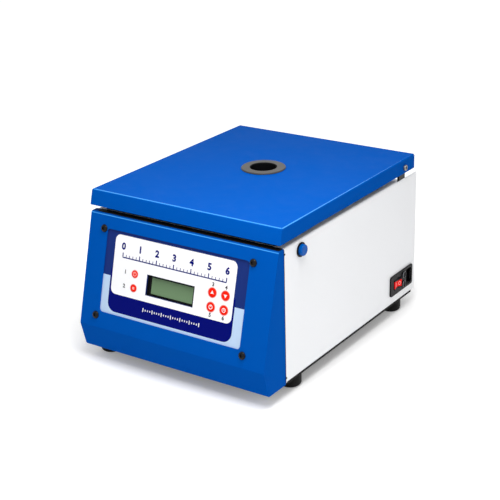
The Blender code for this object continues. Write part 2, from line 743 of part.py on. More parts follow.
def fascia():
    """A folded box, open to the back, with the window that shows the label plate."""
    outer = rounded(
        [
            (JOINT_Y - CLEARANCE, FOOT_HEIGHT), (JOINT_Y - CLEARANCE, DECK_HEIGHT),
            (TOP_EDGE_Y, DECK_HEIGHT), (FRONT_Y, KNEE_Z), (BOTTOM_EDGE_Y, FOOT_HEIGHT),
        ],
        [0, 0, FASCIA_BEND, FASCIA_BEND, BOTTOM_BEND],
        closed=True,
    )
    item = plate([outer], BODY_WIDTH, (0, 0, 0), "YZ")
    bevel_edges(
        item, FASCIA_EDGE, FASCIA_EDGE_STEPS,
        lambda a, b: a.x * b.x > 0 and abs(a.x) > INNER_X and min(a.y, b.y) < LIP_END_Y,
    )
    wall = shifted(
        [
            (JOINT_Y, DECK_HEIGHT), (TOP_EDGE_Y, DECK_HEIGHT), (FRONT_Y, KNEE_Z),
            (BOTTOM_EDGE_Y, FOOT_HEIGHT), (LIP_END_Y, FOOT_HEIGHT),
        ],
        SHEET,
    )
    inner = [
        (JOINT_Y + OVERRUN, DECK_UNDERSIDE), *rounded(wall, FASCIA_BEND - SHEET)[1:],
        (LIP_END_Y, FOOT_HEIGHT - OVERRUN), (JOINT_Y + OVERRUN, FOOT_HEIGHT - OVERRUN),
    ]
    cut(item, plate([inner], 2 * INNER_X, (0, 0, 0), "YZ"))
    window = plate(
        [rectangle(WINDOW_WIDTH, WINDOW_HEIGHT, WINDOW_CORNER)], 2 * OVERRUN,
        panel_point(LABEL_OFFSET, WINDOW_DROP, 0),
    )
    window.rotation_euler = PANEL_TURN
    cut(item, window)
    for x, drop in panel_screw_places():
        hole = panel_cylinder(PANEL_SCREW_RADIUS + CLEARANCE, x, drop, -OVERRUN, OVERRUN, SMALL_SIDES)
        cut(item, hole)
    finish(item, "fascia", BLUE_PAINT)


def panel_point(across, drop, out):
    """A world point from a place on the sloping panel: across, down the slope, and outwards."""
    slope = Vector((0, -math.sin(PANEL_TILT), -math.cos(PANEL_TILT)))
    normal = Vector((0, -math.cos(PANEL_TILT), math.sin(PANEL_TILT)))
    return Vector((across, TOP_EDGE_Y, DECK_HEIGHT)) + slope * drop + normal * out


def panel_cylinder(radius, across, drop, back, front, sides=MEDIUM_SIDES):
    item = cylinder(radius, panel_point(across, drop, back), front - back, sides=sides)
    item.rotation_euler = PANEL_TURN
    return item


def panel_box(size, across, drop, out):
    item = box(size, panel_point(across, drop, out))
    item.rotation_euler = PANEL_TURN
    return item


def panel_screw_places():
    side = WINDOW_WIDTH / 2 + PANEL_SCREW_SIDE
    upper = WINDOW_TOP_DROP + PANEL_SCREW_SINK
    lower = WINDOW_TOP_DROP + WINDOW_HEIGHT + PANEL_SCREW_RISE
    return [(LABEL_OFFSET + sign * side, drop) for drop in (upper, lower) for sign in (-1, 1)]


def key_places():
    """Each key's name, place across, drop and radius."""
    right = RIGHT_KEYS_X + RIGHT_KEYS_PITCH
    return [
        ("key_run", LEFT_KEYS_X, UPPER_LEFT_DROP, KEY_SMALL_RADIUS),
        ("key_stop", LEFT_KEYS_X, LOWER_LEFT_DROP, KEY_SMALL_RADIUS),
        ("key_up", RIGHT_KEYS_X, UPPER_RIGHT_DROP, KEY_LARGE_RADIUS),
        ("key_down", right, UPPER_RIGHT_DROP, KEY_LARGE_RADIUS),
        ("key_speed", RIGHT_KEYS_X, LOWER_RIGHT_DROP, KEY_LARGE_RADIUS),
        ("key_time", right, LOWER_RIGHT_DROP, KEY_LARGE_RADIUS),
    ]


def label_plate():
    item = panel_box(
        (WINDOW_WIDTH + 2 * LABEL_MARGIN, WINDOW_HEIGHT + 2 * LABEL_MARGIN, LABEL_THICKNESS),
        LABEL_OFFSET, WINDOW_DROP, (LABEL_FRONT + LABEL_BACK) / 2,
    )
    cut(item, panel_box(
        (DISPLAY_WIDTH, DISPLAY_HEIGHT, 2 * OVERRUN),
        LABEL_OFFSET + DISPLAY_OFFSET, DISPLAY_DROP, LABEL_BACK,
    ))
    for _, x, drop, radius in key_places():
        cut(item, panel_cylinder(
            radius + CLEARANCE, LABEL_OFFSET + x, drop, LABEL_BACK - OVERRUN, OVERRUN,
        ))
    for x, drop in panel_screw_places():
        cut(item, panel_cylinder(
            PANEL_SCREW_RADIUS + CLEARANCE, x, drop, LABEL_BACK - OVERRUN, OVERRUN, SMALL_SIDES,
        ))
    finish(item, "label_plate", LABEL_PRINT)


def display():
    x = LABEL_OFFSET + DISPLAY_OFFSET
    width = DISPLAY_WIDTH - 2 * BEZEL_STEP
    height = DISPLAY_HEIGHT - BEZEL_STEP
    bezel = panel_box(
        (DISPLAY_WIDTH + 2 * BEZEL_RIM, DISPLAY_HEIGHT + 2 * BEZEL_RIM, BEZEL_DEPTH),
        x, DISPLAY_DROP, (BEZEL_FRONT + BEZEL_BACK) / 2,
    )
    cut(bezel, panel_box((width, height, BEZEL_DEPTH + 2 * OVERRUN), x, DISPLAY_DROP, BEZEL_BACK))
    finish(bezel, "display_bezel", BLACK_PLASTIC)
    glass = panel_box(
        (width - 2 * CLEARANCE, height - 2 * CLEARANCE, GLASS_THICKNESS),
        x, DISPLAY_DROP, BEZEL_FRONT - GLASS_SINK - GLASS_THICKNESS / 2,
    )
    finish(glass, "display_glass", DISPLAY_GREEN)


def keys():
    for name, x, drop, radius in key_places():
        front = LABEL_FRONT + KEY_PROUD
        flange = LABEL_BACK - CLEARANCE
        tip = BOARD_FRONT + KEY_TRAVEL + CLEARANCE
        profile = [
            (0, front), (radius, front), (radius, flange), (radius + KEY_FLANGE, flange),
            (radius + KEY_FLANGE, flange - KEY_FLANGE), (KEY_STEM_RADIUS, flange - KEY_FLANGE),
            (KEY_STEM_RADIUS, tip), (0, tip),
        ]
        item = turned(profile, (0, 0, 0))
        item.matrix_world = Matrix.Identity(4)
        item.location = panel_point(LABEL_OFFSET + x, drop, 0)
        item.rotation_euler = PANEL_TURN
        finish(item, name, KEY_RED)


def panel_screws():
    dome = [
        (PANEL_SCREW_HEAD_RADIUS * math.sin(angle), PANEL_SCREW_HEAD_HEIGHT * math.cos(angle) + CLEARANCE)
        for angle in (step * math.pi / 2 / BEND_STEPS for step in range(BEND_STEPS + 1))
    ]
    tip = -PANEL_SCREW_LENGTH
    profile = dome + [(PANEL_SCREW_RADIUS, CLEARANCE), (PANEL_SCREW_RADIUS, tip), (0, tip)]
    for index, (x, drop) in enumerate(panel_screw_places(), 1):
        item = turned(profile, panel_point(x, drop, 0), sides=SMALL_SIDES)
        item.rotation_euler = PANEL_TURN
        cut(item, panel_cylinder(
            HEX_RADIUS, x, drop, PANEL_SCREW_HEAD_HEIGHT - HEX_DEPTH, PANEL_SCREW_HEAD_HEIGHT + OVERRUN,
            HEX_SIDES,
        ))
        finish(item, f"panel_screw_{index}", BLACK_STEEL)


def control_board():
    """The board behind the display, on four pillars, with three components at its back."""
    item = panel_box(
        (BOARD_WIDTH, BOARD_HEIGHT, BOARD_THICKNESS),
        LABEL_OFFSET, WINDOW_DROP, (BOARD_FRONT + BOARD_BACK) / 2,
    )
    across = BOARD_WIDTH / 2 - BOARD_PILLAR_INSET
    down = BOARD_HEIGHT / 2 - BOARD_PILLAR_INSET
    for x in (LABEL_OFFSET - across, LABEL_OFFSET + across):
        for drop in (WINDOW_DROP - down, WINDOW_DROP + down):
            join(item, panel_cylinder(
                BOARD_PILLAR_RADIUS, x, drop, BOARD_FRONT - BOARD_THICKNESS / 2, LABEL_BACK - CLEARANCE,
                SMALL_SIDES,
            ))
    for step in (-1, 0, 1):
        join(item, panel_box(
            BOARD_BLOCK, LABEL_OFFSET + step * BOARD_BLOCK_SPREAD, WINDOW_DROP,
            BOARD_BACK - BOARD_BLOCK[2] / 2 + BOARD_THICKNESS / 2,
        ))
    finish(item, "control_board", BOARD_GREEN)


def lid_shell():
    """A shallow folded tray, its front skirt parallel to the sloping panel.

    The back skirt ends short of the side skirts, so that it swings down between the cover's sides.
    """
    low = LID_BOTTOM - OVERRUN
    slope = math.tan(PANEL_TILT)
    skirt = SHEET / math.cos(PANEL_TILT)
    front_low = TOP_EDGE_Y - OVERRUN * slope
    front_high = TOP_EDGE_Y + LID_HEIGHT * slope
    side = [(front_low, low), (LID_BACK_Y, low), (LID_BACK_Y, LID_TOP), (front_high, LID_TOP)]
    item = plate([side], 2 * LID_SIDE_X, (0, 0, 0), "YZ")
    bevel_edges(item, LID_EDGE, LID_EDGE_STEPS, lambda a, b: a.z + b.z > 2 * LID_BOTTOM)
    inner = [
        (front_low + skirt, low), (LID_BACK_Y - SHEET, low),
        (LID_BACK_Y - SHEET, LID_UNDERSIDE), (front_high + skirt - SHEET * slope, LID_UNDERSIDE),
    ]
    cut(item, plate([inner], 2 * (LID_SIDE_X - SHEET), (0, 0, 0), "YZ"))
    cut(item, span_box((-BODY_WIDTH, FRONT_Y, low - OVERRUN), (BODY_WIDTH, BACK_Y, LID_BOTTOM)))
    cut(item, cylinder(
        PORT_SLEEVE_RADIUS + CLEARANCE, (0, ROTOR_Y, LID_TOP - OVERRUN), 2 * OVERRUN, sides=LARGE_SIDES,
    ))
    for sign in (-1, 1):
        cut(item, cylinder(
            HINGE_SCREW_RADIUS + CLEARANCE, (sign * LID_SIDE_X - OVERRUN, HINGE_Y, HINGE_Z), 2 * OVERRUN,
            along="X", sides=SMALL_SIDES,
        ))
        cut(item, span_box(
            (sign * (INNER_X - SWING_CLEARANCE), LID_BACK_Y - SHEET - CLEARANCE, low),
            (sign * (LID_SIDE_X - SHEET), LID_BACK_Y + OVERRUN, LID_UNDERSIDE - CLEARANCE),
        ))
    finish(item, "lid_shell", BLUE_PAINT)


def lid_liner():
    """The tray under the lid that closes the chamber, with holes for the port and the tongue."""
    half = LID_SIDE_X - SHEET - LINER_SIDE_INSET
    front = JOINT_Y + SEAL_FRONT_INSET
    back = RECESS_FRONT_Y - LINER_REAR_INSET
    length = back - front
    middle = (front + back) / 2
    top = LID_UNDERSIDE - CLEARANCE
    outer = rectangle(2 * half, length, LINER_CORNER)
    inner = rectangle(2 * (half - LINER_SHEET), length - 2 * LINER_SHEET, LINER_CORNER - LINER_SHEET)
    height = top - LINER_BOTTOM
    item = plate([outer], height, (0, middle, LINER_BOTTOM + height / 2))
    hollow = plate([inner], height, (0, middle, LINER_BOTTOM + LINER_SHEET + height / 2))
    port = cylinder(
        PORT_SLEEVE_RADIUS + CLEARANCE, (0, ROTOR_Y, LINER_BOTTOM - OVERRUN), 2 * OVERRUN, sides=LARGE_SIDES,
    )
    slot = box(
        (TONGUE_THICKNESS + 2 * CLEARANCE, TONGUE_WIDTH + 2 * CLEARANCE, 2 * OVERRUN),
        (TONGUE_X + TONGUE_THICKNESS / 2, BUTTON_Y, LINER_BOTTOM),
    )
    cut(item, hollow, port, slot)
    finish(item, "lid_liner", BLACK_PLASTIC)


def port_ring():
    """A flange on the lid with a sleeve down through the liner, and a ledge that holds the window."""
    bottom = LINER_BOTTOM
    seat = LID_TOP + CLEARANCE
    top = seat + PORT_RING_THICKNESS
    bend = PORT_MOUTH_BEND
    mouth = arc((PORT_BORE_RADIUS + bend, top - bend), bend, math.pi, math.pi / 2, BEND_STEPS)
    rim = arc((PORT_RING_RADIUS - bend, top - bend), bend, math.pi / 2, 0, BEND_STEPS)
    ledge_top = bottom + PORT_LEDGE_THICKNESS
    profile = [
        *rim, (PORT_RING_RADIUS, seat), (PORT_SLEEVE_RADIUS, seat), (PORT_SLEEVE_RADIUS, bottom),
        (PORT_BORE_RADIUS - PORT_LEDGE, bottom), (PORT_BORE_RADIUS - PORT_LEDGE, ledge_top),
        (PORT_BORE_RADIUS, ledge_top), *mouth,
    ]
    item = turned(profile, (0, ROTOR_Y, 0), closed=True, sides=LARGE_SIDES)
    finish(item, "port_ring", GREY_PLASTIC)


def port_window():
    bottom = LINER_BOTTOM + PORT_LEDGE_THICKNESS + CLEARANCE
    item = cylinder(
        PORT_BORE_RADIUS - CLEARANCE, (0, ROTOR_Y, bottom), PORT_WINDOW_THICKNESS, sides=LARGE_SIDES,
    )
    finish(item, "port_window", CLEAR_PLASTIC)


def hinges():
    """A bracket inside each side wall, and the shoulder screw that the lid turns on."""
    foot = SHELF_Z + CLEARANCE
    radius = BRACKET_RADIUS
    crown = arc((HINGE_Y, HINGE_Z), radius, 0, math.pi, 2 * BEND_STEPS)
    outline = [(HINGE_Y - radius, foot), (HINGE_Y + radius, foot), *crown]
    bore = circle(HINGE_SCREW_RADIUS + CLEARANCE, (HINGE_Y, HINGE_Z), SMALL_SIDES)
    bracket_x = INNER_X - CLEARANCE - BRACKET_THICKNESS / 2
    seat = LID_SIDE_X + CLEARANCE
    tip = INNER_X - CLEARANCE - BRACKET_THICKNESS - HINGE_SCREW_TIP
    profile = [
        (0, seat + HINGE_HEAD_HEIGHT), (HINGE_HEAD_RADIUS, seat + HINGE_HEAD_HEIGHT),
        (HINGE_HEAD_RADIUS, seat), (HINGE_SCREW_RADIUS, seat), (HINGE_SCREW_RADIUS, tip), (0, tip),
    ]
    for side, sign in (("left", -1), ("right", 1)):
        bracket = plate([outline, bore], BRACKET_THICKNESS, (sign * bracket_x, 0, 0), "YZ")
        finish(bracket, f"hinge_bracket_{side}", BRIGHT_STEEL)
        screw = turned(profile, (0, 0, 0), sides=SMALL_SIDES)
        screw.matrix_world = Matrix.Translation((0, HINGE_Y, HINGE_Z)) @ Matrix.Rotation(
            sign * math.pi / 2, 4, "Y"
        )
        socket_start = sign * (seat + HINGE_HEAD_HEIGHT - HEX_DEPTH)
        socket = cylinder(
            HEX_RADIUS, (socket_start, HINGE_Y, HINGE_Z), HEX_DEPTH + OVERRUN, "X", sides=HEX_SIDES,
        )
        if sign < 0:
            socket.location.x -= HEX_DEPTH + OVERRUN
        finish(cut(screw, socket), f"hinge_screw_{side}", BRIGHT_STEEL)


def release_button():
    """The blue button and the plunger behind it, on the button's own axis."""
    crown = arc(
        (BUTTON_RADIUS - BUTTON_CROWN, BUTTON_TIP_X - BUTTON_CROWN), BUTTON_CROWN, math.pi / 2, 0, BEND_STEPS,
    )
    tip = BOLT_OUTER_X + CLEARANCE
    profile = [
        (0, BUTTON_TIP_X), *crown, (BUTTON_RADIUS, BUTTON_BACK_X),
        (PLUNGER_RADIUS, BUTTON_BACK_X), (PLUNGER_RADIUS, tip), (0, tip),
    ]
    item = turned(profile, (0, BUTTON_Y, BUTTON_Z), along="X")
    finish(item, "release_button", BLUE_PLASTIC)


def button_barrel():
    """A flanged sleeve in the side wall that guides the button and holds its spring."""
    rim = BARREL_RADIUS + BARREL_RIM
    profile = [
        (rim, BARREL_FACE_X), (rim, SIDE_X + CLEARANCE), (BARREL_RADIUS, SIDE_X + CLEARANCE),
        (BARREL_RADIUS, BARREL_END_X), (PLUNGER_RADIUS + CLEARANCE, BARREL_END_X),
        (PLUNGER_RADIUS + CLEARANCE, BARREL_FLOOR_X), (BARREL_BORE_RADIUS, BARREL_FLOOR_X),
        (BARREL_BORE_RADIUS, BARREL_FACE_X),
    ]
    item = turned(profile, (0, BUTTON_Y, BUTTON_Z), along="X", closed=True)
    finish(item, "button_barrel", BLACK_PLASTIC)


def latch_spring():
    """An open coil between the barrel's floor and the back of the button."""
    inset = SPRING_WIRE_RADIUS + CLEARANCE
    start = BARREL_FLOOR_X + inset
    length = SPRING_LENGTH - 2 * inset
    steps = SPRING_COILS * SPRING_STEPS_PER_COIL
    curve = bpy.data.curves.new("coil", "CURVE")
    curve.dimensions = "3D"
    curve.bevel_depth = SPRING_WIRE_RADIUS
    curve.bevel_resolution = 1
    curve.use_fill_caps = True
    spline = curve.splines.new("POLY")
    spline.points.add(steps)
    for step, point in enumerate(spline.points):
        angle = math.tau * step / SPRING_STEPS_PER_COIL
        across = SPRING_RADIUS * math.cos(angle)
        up = SPRING_RADIUS * math.sin(angle)
        point.co = (start + length * step / steps, BUTTON_Y + across, BUTTON_Z + up, 1)
    finish(new_object("coil", curve), "latch_spring", BRIGHT_STEEL)


def latch_bolt():
    """A slotted slide on the plunger. The tongue drops into the slot, and the bolt's nose faces it."""
    nose = TONGUE_X - CLEARANCE
    slot = plate(
        [rectangle(BOLT_SLOT_OUTER_X - nose, BOLT_SLOT_WIDTH)], 2 * OVERRUN,
        ((nose + BOLT_SLOT_OUTER_X) / 2, BUTTON_Y, BUTTON_Z),
    )
    item = box(
        (BOLT_OUTER_X - BOLT_INNER_X, BOLT_WIDTH, BOLT_THICKNESS),
        ((BOLT_OUTER_X + BOLT_INNER_X) / 2, BUTTON_Y, BUTTON_Z),
    )
    tail_end = BOLT_INNER_X - BOLT_TAIL_LENGTH
    tail = box(
        (BOLT_TAIL_LENGTH + BOLT_RAIL, BOLT_TAIL_WIDTH, BOLT_THICKNESS),
        (tail_end + (BOLT_TAIL_LENGTH + BOLT_RAIL) / 2, BUTTON_Y, BUTTON_Z),
    )
    join(cut(item, slot), tail)
    finish(item, "latch_bolt", BRIGHT_STEEL)


def lid_tongue():
    """The striker that hangs from the lid, with the window that the bolt catches."""
    top = LID_UNDERSIDE - CLEARANCE
    corners = [
        (TONGUE_OUTER_X, TONGUE_BOTTOM), (TONGUE_OUTER_X, top), (TONGUE_OUTER_X - TONGUE_FOOT, top),
    ]
    item = plate([folded(corners, TONGUE_THICKNESS, CLEARANCE)], TONGUE_WIDTH, (0, BUTTON_Y, 0), "XZ")
    window = box(
        (TONGUE_FOOT, TONGUE_WINDOW_WIDTH, TONGUE_WINDOW_HEIGHT),
        (TONGUE_X + TONGUE_THICKNESS / 2, BUTTON_Y, BUTTON_Z),
    )
    finish(cut(item, window), "lid_tongue", BRIGHT_STEEL)


def latch_bracket():
    """A hanger under the deck with the window that guides the bolt's tail, and the lid switch on it."""
    top = DECK_UNDERSIDE - CLEARANCE
    corners = [
        (LATCH_PLATE_X, top - LATCH_PLATE_DROP), (LATCH_PLATE_X, top), (LATCH_PLATE_X + LATCH_FLANGE, top),
    ]
    outline = folded(corners[::-1], LATCH_PLATE_THICKNESS, CLEARANCE)
    item = plate([outline], LATCH_PLATE_WIDTH, (0, BUTTON_Y, 0), "XZ")
    window = box(
        (TONGUE_FOOT, BOLT_TAIL_WIDTH + 2 * CLEARANCE, BOLT_THICKNESS + 2 * CLEARANCE),
        (LATCH_PLATE_X + LATCH_PLATE_THICKNESS / 2, BUTTON_Y, BUTTON_Z),
    )
    finish(cut(item, window), "latch_bracket", BRIGHT_STEEL)
    thick, wide, tall = SWITCH_SIZE
    front = LATCH_PLATE_X + LATCH_PLATE_THICKNESS + CLEARANCE
    switch = box(SWITCH_SIZE, (front + thick / 2, BUTTON_Y, top - LATCH_PLATE_DROP + tall / 2))
    finish(switch, "lid_switch", BLACK_PLASTIC)


def deck_seal():
    """A rubber mat on the deck, cut out round the bowl and the tongue, that the liner closes on."""
    low = DECK_HEIGHT + CLEARANCE
    high = LINER_BOTTOM - CLEARANCE
    front = JOINT_Y + SEAL_FRONT_INSET
    back = RECESS_FRONT_Y - LINER_REAR_INSET
    length = back - front
    middle = (front + back) / 2
    outer = rectangle(2 * (SIDE_X - SEAL_SIDE_INSET), length, SEAL_CORNER, (0, middle))
    hole = circle(BOWL_FLANGE_RADIUS + SEAL_HOLE_MARGIN, (0, ROTOR_Y), LARGE_SIDES)
    slot = rectangle(
        TONGUE_THICKNESS + 2 * SWING_CLEARANCE, BOLT_SLOT_WIDTH, 0,
        (TONGUE_X + TONGUE_THICKNESS / 2, BUTTON_Y),
    )
    item = plate([outer, hole, slot], high - low, (0, 0, (low + high) / 2))
    finish(item, "deck_seal", RUBBER)


def chamber_bowl():
    corner_out = BOWL_CORNER + BOWL_WALL
    outer_corner = arc(
        (BOWL_OUTER_RADIUS - corner_out, BOWL_UNDERSIDE + corner_out), corner_out, 0, -math.pi / 2,
        BEND_STEPS,
    )
    inner_corner = arc(
        (BOWL_RADIUS - BOWL_CORNER, BOWL_FLOOR + BOWL_CORNER), BOWL_CORNER, -math.pi / 2, 0, BEND_STEPS,
    )
    flange_bottom = BOWL_TOP - BOWL_WALL
    profile = [
        (BOWL_FLANGE_RADIUS, BOWL_TOP), (BOWL_FLANGE_RADIUS, flange_bottom),
        (BOWL_OUTER_RADIUS, flange_bottom), *outer_corner, (BOWL_SHAFT_HOLE_RADIUS, BOWL_UNDERSIDE),
        (BOWL_SHAFT_HOLE_RADIUS, BOWL_FLOOR), *inner_corner, (BOWL_RADIUS, BOWL_TOP),
    ]
    item = turned(profile, (0, ROTOR_Y, 0), closed=True, sides=LARGE_SIDES)
    finish(item, "chamber_bowl", BRIGHT_STEEL)


def motor():
    """The motor hangs by its flange in the plate, and the shaft turns in its bore."""
    boss_top = MOTOR_TOP + MOTOR_BOSS_HEIGHT
    bore = SHAFT_RADIUS + CLEARANCE
    flange = MOTOR_PLATE_TOP + CLEARANCE
    profile = [
        (bore, boss_top), (MOTOR_BOSS_RADIUS, boss_top), (MOTOR_BOSS_RADIUS, MOTOR_TOP),
        (MOTOR_RADIUS, MOTOR_TOP), (MOTOR_RADIUS, flange + MOTOR_FLANGE_THICKNESS),
        (MOTOR_FLANGE_RADIUS, flange + MOTOR_FLANGE_THICKNESS), (MOTOR_FLANGE_RADIUS, flange),
        (MOTOR_RADIUS, flange), (MOTOR_RADIUS, MOTOR_BOTTOM), (0, MOTOR_BOTTOM),
    ]
    floor = boss_top - MOTOR_BORE_DEPTH
    item = turned([(0, floor), (bore, floor), *profile], (0, ROTOR_Y, 0), sides=LARGE_SIDES)
    finish(item, "motor", MOTOR_GREY)


def motor_mounts():
    middle = (MOTOR_PLATE_BOTTOM + MOTOR_PLATE_TOP) / 2
    disc = circle(MOTOR_PLATE_RADIUS, (0, ROTOR_Y), LARGE_SIDES)
    hole = circle(MOTOR_RADIUS + CLEARANCE, (0, ROTOR_Y), LARGE_SIDES)
    finish(plate([disc, hole], MOTOR_PLATE_THICKNESS, (0, 0, middle)), "motor_plate", BRIGHT_STEEL)
    reach = MOTOR_PLATE_RADIUS - MOUNT_RADIUS
    low = BASE_TOP + CLEARANCE
    high = low + MOUNT_HEIGHT
    waist = MOUNT_WAIST_RADIUS
    profile = [
        (0, high), (MOUNT_RADIUS, high), (MOUNT_RADIUS, high - MOUNT_RIM_HEIGHT),
        (waist, high - 2 * MOUNT_RIM_HEIGHT), (waist, low + 2 * MOUNT_RIM_HEIGHT),
        (MOUNT_RADIUS, low + MOUNT_RIM_HEIGHT), (MOUNT_RADIUS, low), (0, low),
    ]
    for index in range(MOUNT_COUNT):
        angle = math.pi / 2 + math.tau * index / MOUNT_COUNT
        place = (reach * math.cos(angle), ROTOR_Y + reach * math.sin(angle), 0)
        finish(turned(profile, place, sides=SMALL_SIDES), f"motor_mount_{index + 1}", RUBBER)


def rotor_shaft():
    bottom = MOTOR_TOP + MOTOR_BOSS_HEIGHT - MOTOR_BORE_DEPTH + CLEARANCE
    collar_top = SHAFT_COLLAR_Z + SHAFT_COLLAR_THICKNESS
    top = HUB_TOP + ROTOR_KNOB_HEIGHT - ROTOR_KNOB_ROOF - CLEARANCE
    profile = [
        (0, top), (SHAFT_THREAD_RADIUS, top), (SHAFT_THREAD_RADIUS, HUB_TOP), (SHAFT_RADIUS, HUB_TOP),
        (SHAFT_RADIUS, collar_top), (SHAFT_COLLAR_RADIUS, collar_top),
        (SHAFT_COLLAR_RADIUS, SHAFT_COLLAR_Z), (SHAFT_RADIUS, SHAFT_COLLAR_Z),
        (SHAFT_RADIUS, bottom), (0, bottom),
    ]
    finish(turned(profile, (0, ROTOR_Y, 0)), "rotor_shaft", BRIGHT_STEEL)


def rotor_head():
    """A hub with one arm for each carrier, and a pair of notched ears at the end of each arm."""
    bore = SHAFT_RADIUS + CLEARANCE
    profile = [(bore, HUB_TOP), (HUB_RADIUS, HUB_TOP), (HUB_RADIUS, HUB_BOTTOM), (bore, HUB_BOTTOM)]
    item = turned(profile, (0, ROTOR_Y, 0), closed=True)
    arm_middle = ARM_BOTTOM + ARM_THICKNESS / 2
    ear_outer = PIVOT_RADIUS + EAR_OUTER_MARGIN
    ear_top = PIVOT_Z + EAR_ABOVE_PIVOT
    slot = PIVOT_PIN_RADIUS + CLEARANCE
    seat = arc((PIVOT_RADIUS, PIVOT_Z), slot, -math.pi, 0, BEND_STEPS)
    ear = [
        (EAR_INNER_REACH, ARM_BOTTOM), (ear_outer, PIVOT_Z - EAR_OUTER_MARGIN), (ear_outer, ear_top),
        (PIVOT_RADIUS + slot, ear_top), *seat[::-1], (PIVOT_RADIUS - slot, ear_top),
        (EAR_INNER_REACH, ear_top),
    ]
    offset = (ARM_WIDTH - EAR_THICKNESS) / 2
    for index in range(CARRIER_COUNT):
        angle = math.tau * index / CARRIER_COUNT
        turn = Matrix.Translation((0, ROTOR_Y, 0)) @ Matrix.Rotation(angle, 4, "Z")
        start = HUB_RADIUS / 2
        arm = box((ARM_REACH - start, ARM_WIDTH, ARM_THICKNESS), ((ARM_REACH + start) / 2, 0, arm_middle))
        arm.matrix_world = turn @ Matrix.Translation(arm.location)
        join(item, arm)
        for side in (-offset, offset):
            wing = plate([ear], EAR_THICKNESS, (0, side, 0), "XZ")
            wing.matrix_world = turn @ Matrix.Translation(wing.location)
            join(item, wing)
    cut(item, cylinder(bore, (0, ROTOR_Y, HUB_BOTTOM - OVERRUN), HUB_HEIGHT + 2 * OVERRUN))
    finish(item, "rotor_head", ALUMINIUM)


def rotor_knob():
    bottom = HUB_TOP + CLEARANCE
    top = bottom + ROTOR_KNOB_HEIGHT
    bore = SHAFT_THREAD_RADIUS + CLEARANCE
    roof = top - ROTOR_KNOB_ROOF
    crown = arc(
        (ROTOR_KNOB_RADIUS - ROTOR_KNOB_CROWN, top - ROTOR_KNOB_CROWN), ROTOR_KNOB_CROWN,
        math.pi / 2, 0, BEND_STEPS,
    )
    profile = [
        (0, top), *crown, (ROTOR_KNOB_RADIUS, bottom), (bore, bottom), (bore, roof), (0, roof),
    ]
    finish(turned(profile, (0, ROTOR_Y, 0)), "rotor_knob", BLACK_PLASTIC)


def carrier_shape():
    """A slide carrier about its pivot: +X is outwards, and the pins lie along Y."""
    back = CARRIER_BACK_REACH
    front = back - CARRIER_DEPTH
    half = CARRIER_WIDTH / 2
    item = span_box((front, -half, -CARRIER_BELOW_PIVOT), (back, half, CARRIER_ABOVE_PIVOT))
    inner = half - CARRIER_SHEET
    hollow = span_box(
        (front - OVERRUN, -inner, CARRIER_SHEET - CARRIER_BELOW_PIVOT),
        (back - CARRIER_SHEET, inner, CARRIER_ABOVE_PIVOT + OVERRUN),
    )
    pin_end = ARM_WIDTH / 2 + CLEARANCE
    cut(item, hollow)
    for start in (-pin_end, inner):
        join(item, cylinder(PIVOT_PIN_RADIUS, (0, start, 0), pin_end - inner, "Y", sides=SMALL_SIDES))
    return item


def chamber_shape():
    """A sample chamber about the same pivot: a plate against the slide, a funnel and a port."""
    outer = CARRIER_BACK_REACH - CARRIER_SHEET - SLIDE_THICKNESS - 3 * CLEARANCE
    inner = outer - CHAMBER_PLATE_THICKNESS
    half = CARRIER_WIDTH / 2 - CARRIER_SHEET - CLEARANCE
    item = span_box((inner, -half, -CHAMBER_PLATE_BELOW_PIVOT), (outer, half, CHAMBER_PLATE_ABOVE_PIVOT))
    bottom = -FUNNEL_BELOW_PIVOT
    wall = FUNNEL_WALL
    funnel = turned(
        [
            (0, FUNNEL_ABOVE_PIVOT), (FUNNEL_RADIUS, FUNNEL_ABOVE_PIVOT),
            (FUNNEL_RADIUS, bottom + FUNNEL_CONE), (FUNNEL_RADIUS - FUNNEL_CONE / 2, bottom), (0, bottom),
        ],
        (-FUNNEL_INWARD, 0, 0), sides=SMALL_SIDES,
    )
    bore = turned(
        [
            (0, FUNNEL_ABOVE_PIVOT + OVERRUN), (FUNNEL_RADIUS - wall, FUNNEL_ABOVE_PIVOT + OVERRUN),
            (FUNNEL_RADIUS - wall, bottom + wall + FUNNEL_CONE),
            (FUNNEL_RADIUS - wall - FUNNEL_CONE / 2, bottom + wall), (0, bottom + wall),
        ],
        (-FUNNEL_INWARD, 0, 0), sides=SMALL_SIDES,
    )
    port_z = bottom + CHAMBER_PORT_ABOVE_TIP
    reach = FUNNEL_INWARD + (inner + outer) / 2
    port = cylinder(CHAMBER_PORT_RADIUS, (-FUNNEL_INWARD, 0, port_z), reach, "X", sides=SMALL_SIDES)
    drill = cylinder(
        CHAMBER_PORT_BORE_RADIUS, (-FUNNEL_INWARD, 0, port_z), FUNNEL_INWARD + outer + OVERRUN, "X",
        sides=SMALL_SIDES,
    )
    return cut(join(item, funnel, port), bore, drill)


def carriers():
    shapes = (
        ("slide_carrier", baked(carrier_shape()), BRIGHT_STEEL),
        ("sample_chamber", baked(chamber_shape()), WHITE_PLASTIC),
    )
    for index in range(CARRIER_COUNT):
        angle = math.tau * index / CARRIER_COUNT
        place = (PIVOT_RADIUS * math.cos(angle), ROTOR_Y + PIVOT_RADIUS * math.sin(angle), PIVOT_Z)
        spoke = empty(f"carrier_spoke_{index + 1}", place, (0, 0, angle))
        pivot = empty(f"carrier_pivot_{index + 1}", (0, 0, 0), (0, -CARRIER_TILT, 0), spoke)
        for name, mesh, material in shapes:
            finish(new_object(name, mesh), f"{name}_{index + 1}", material, pivot)


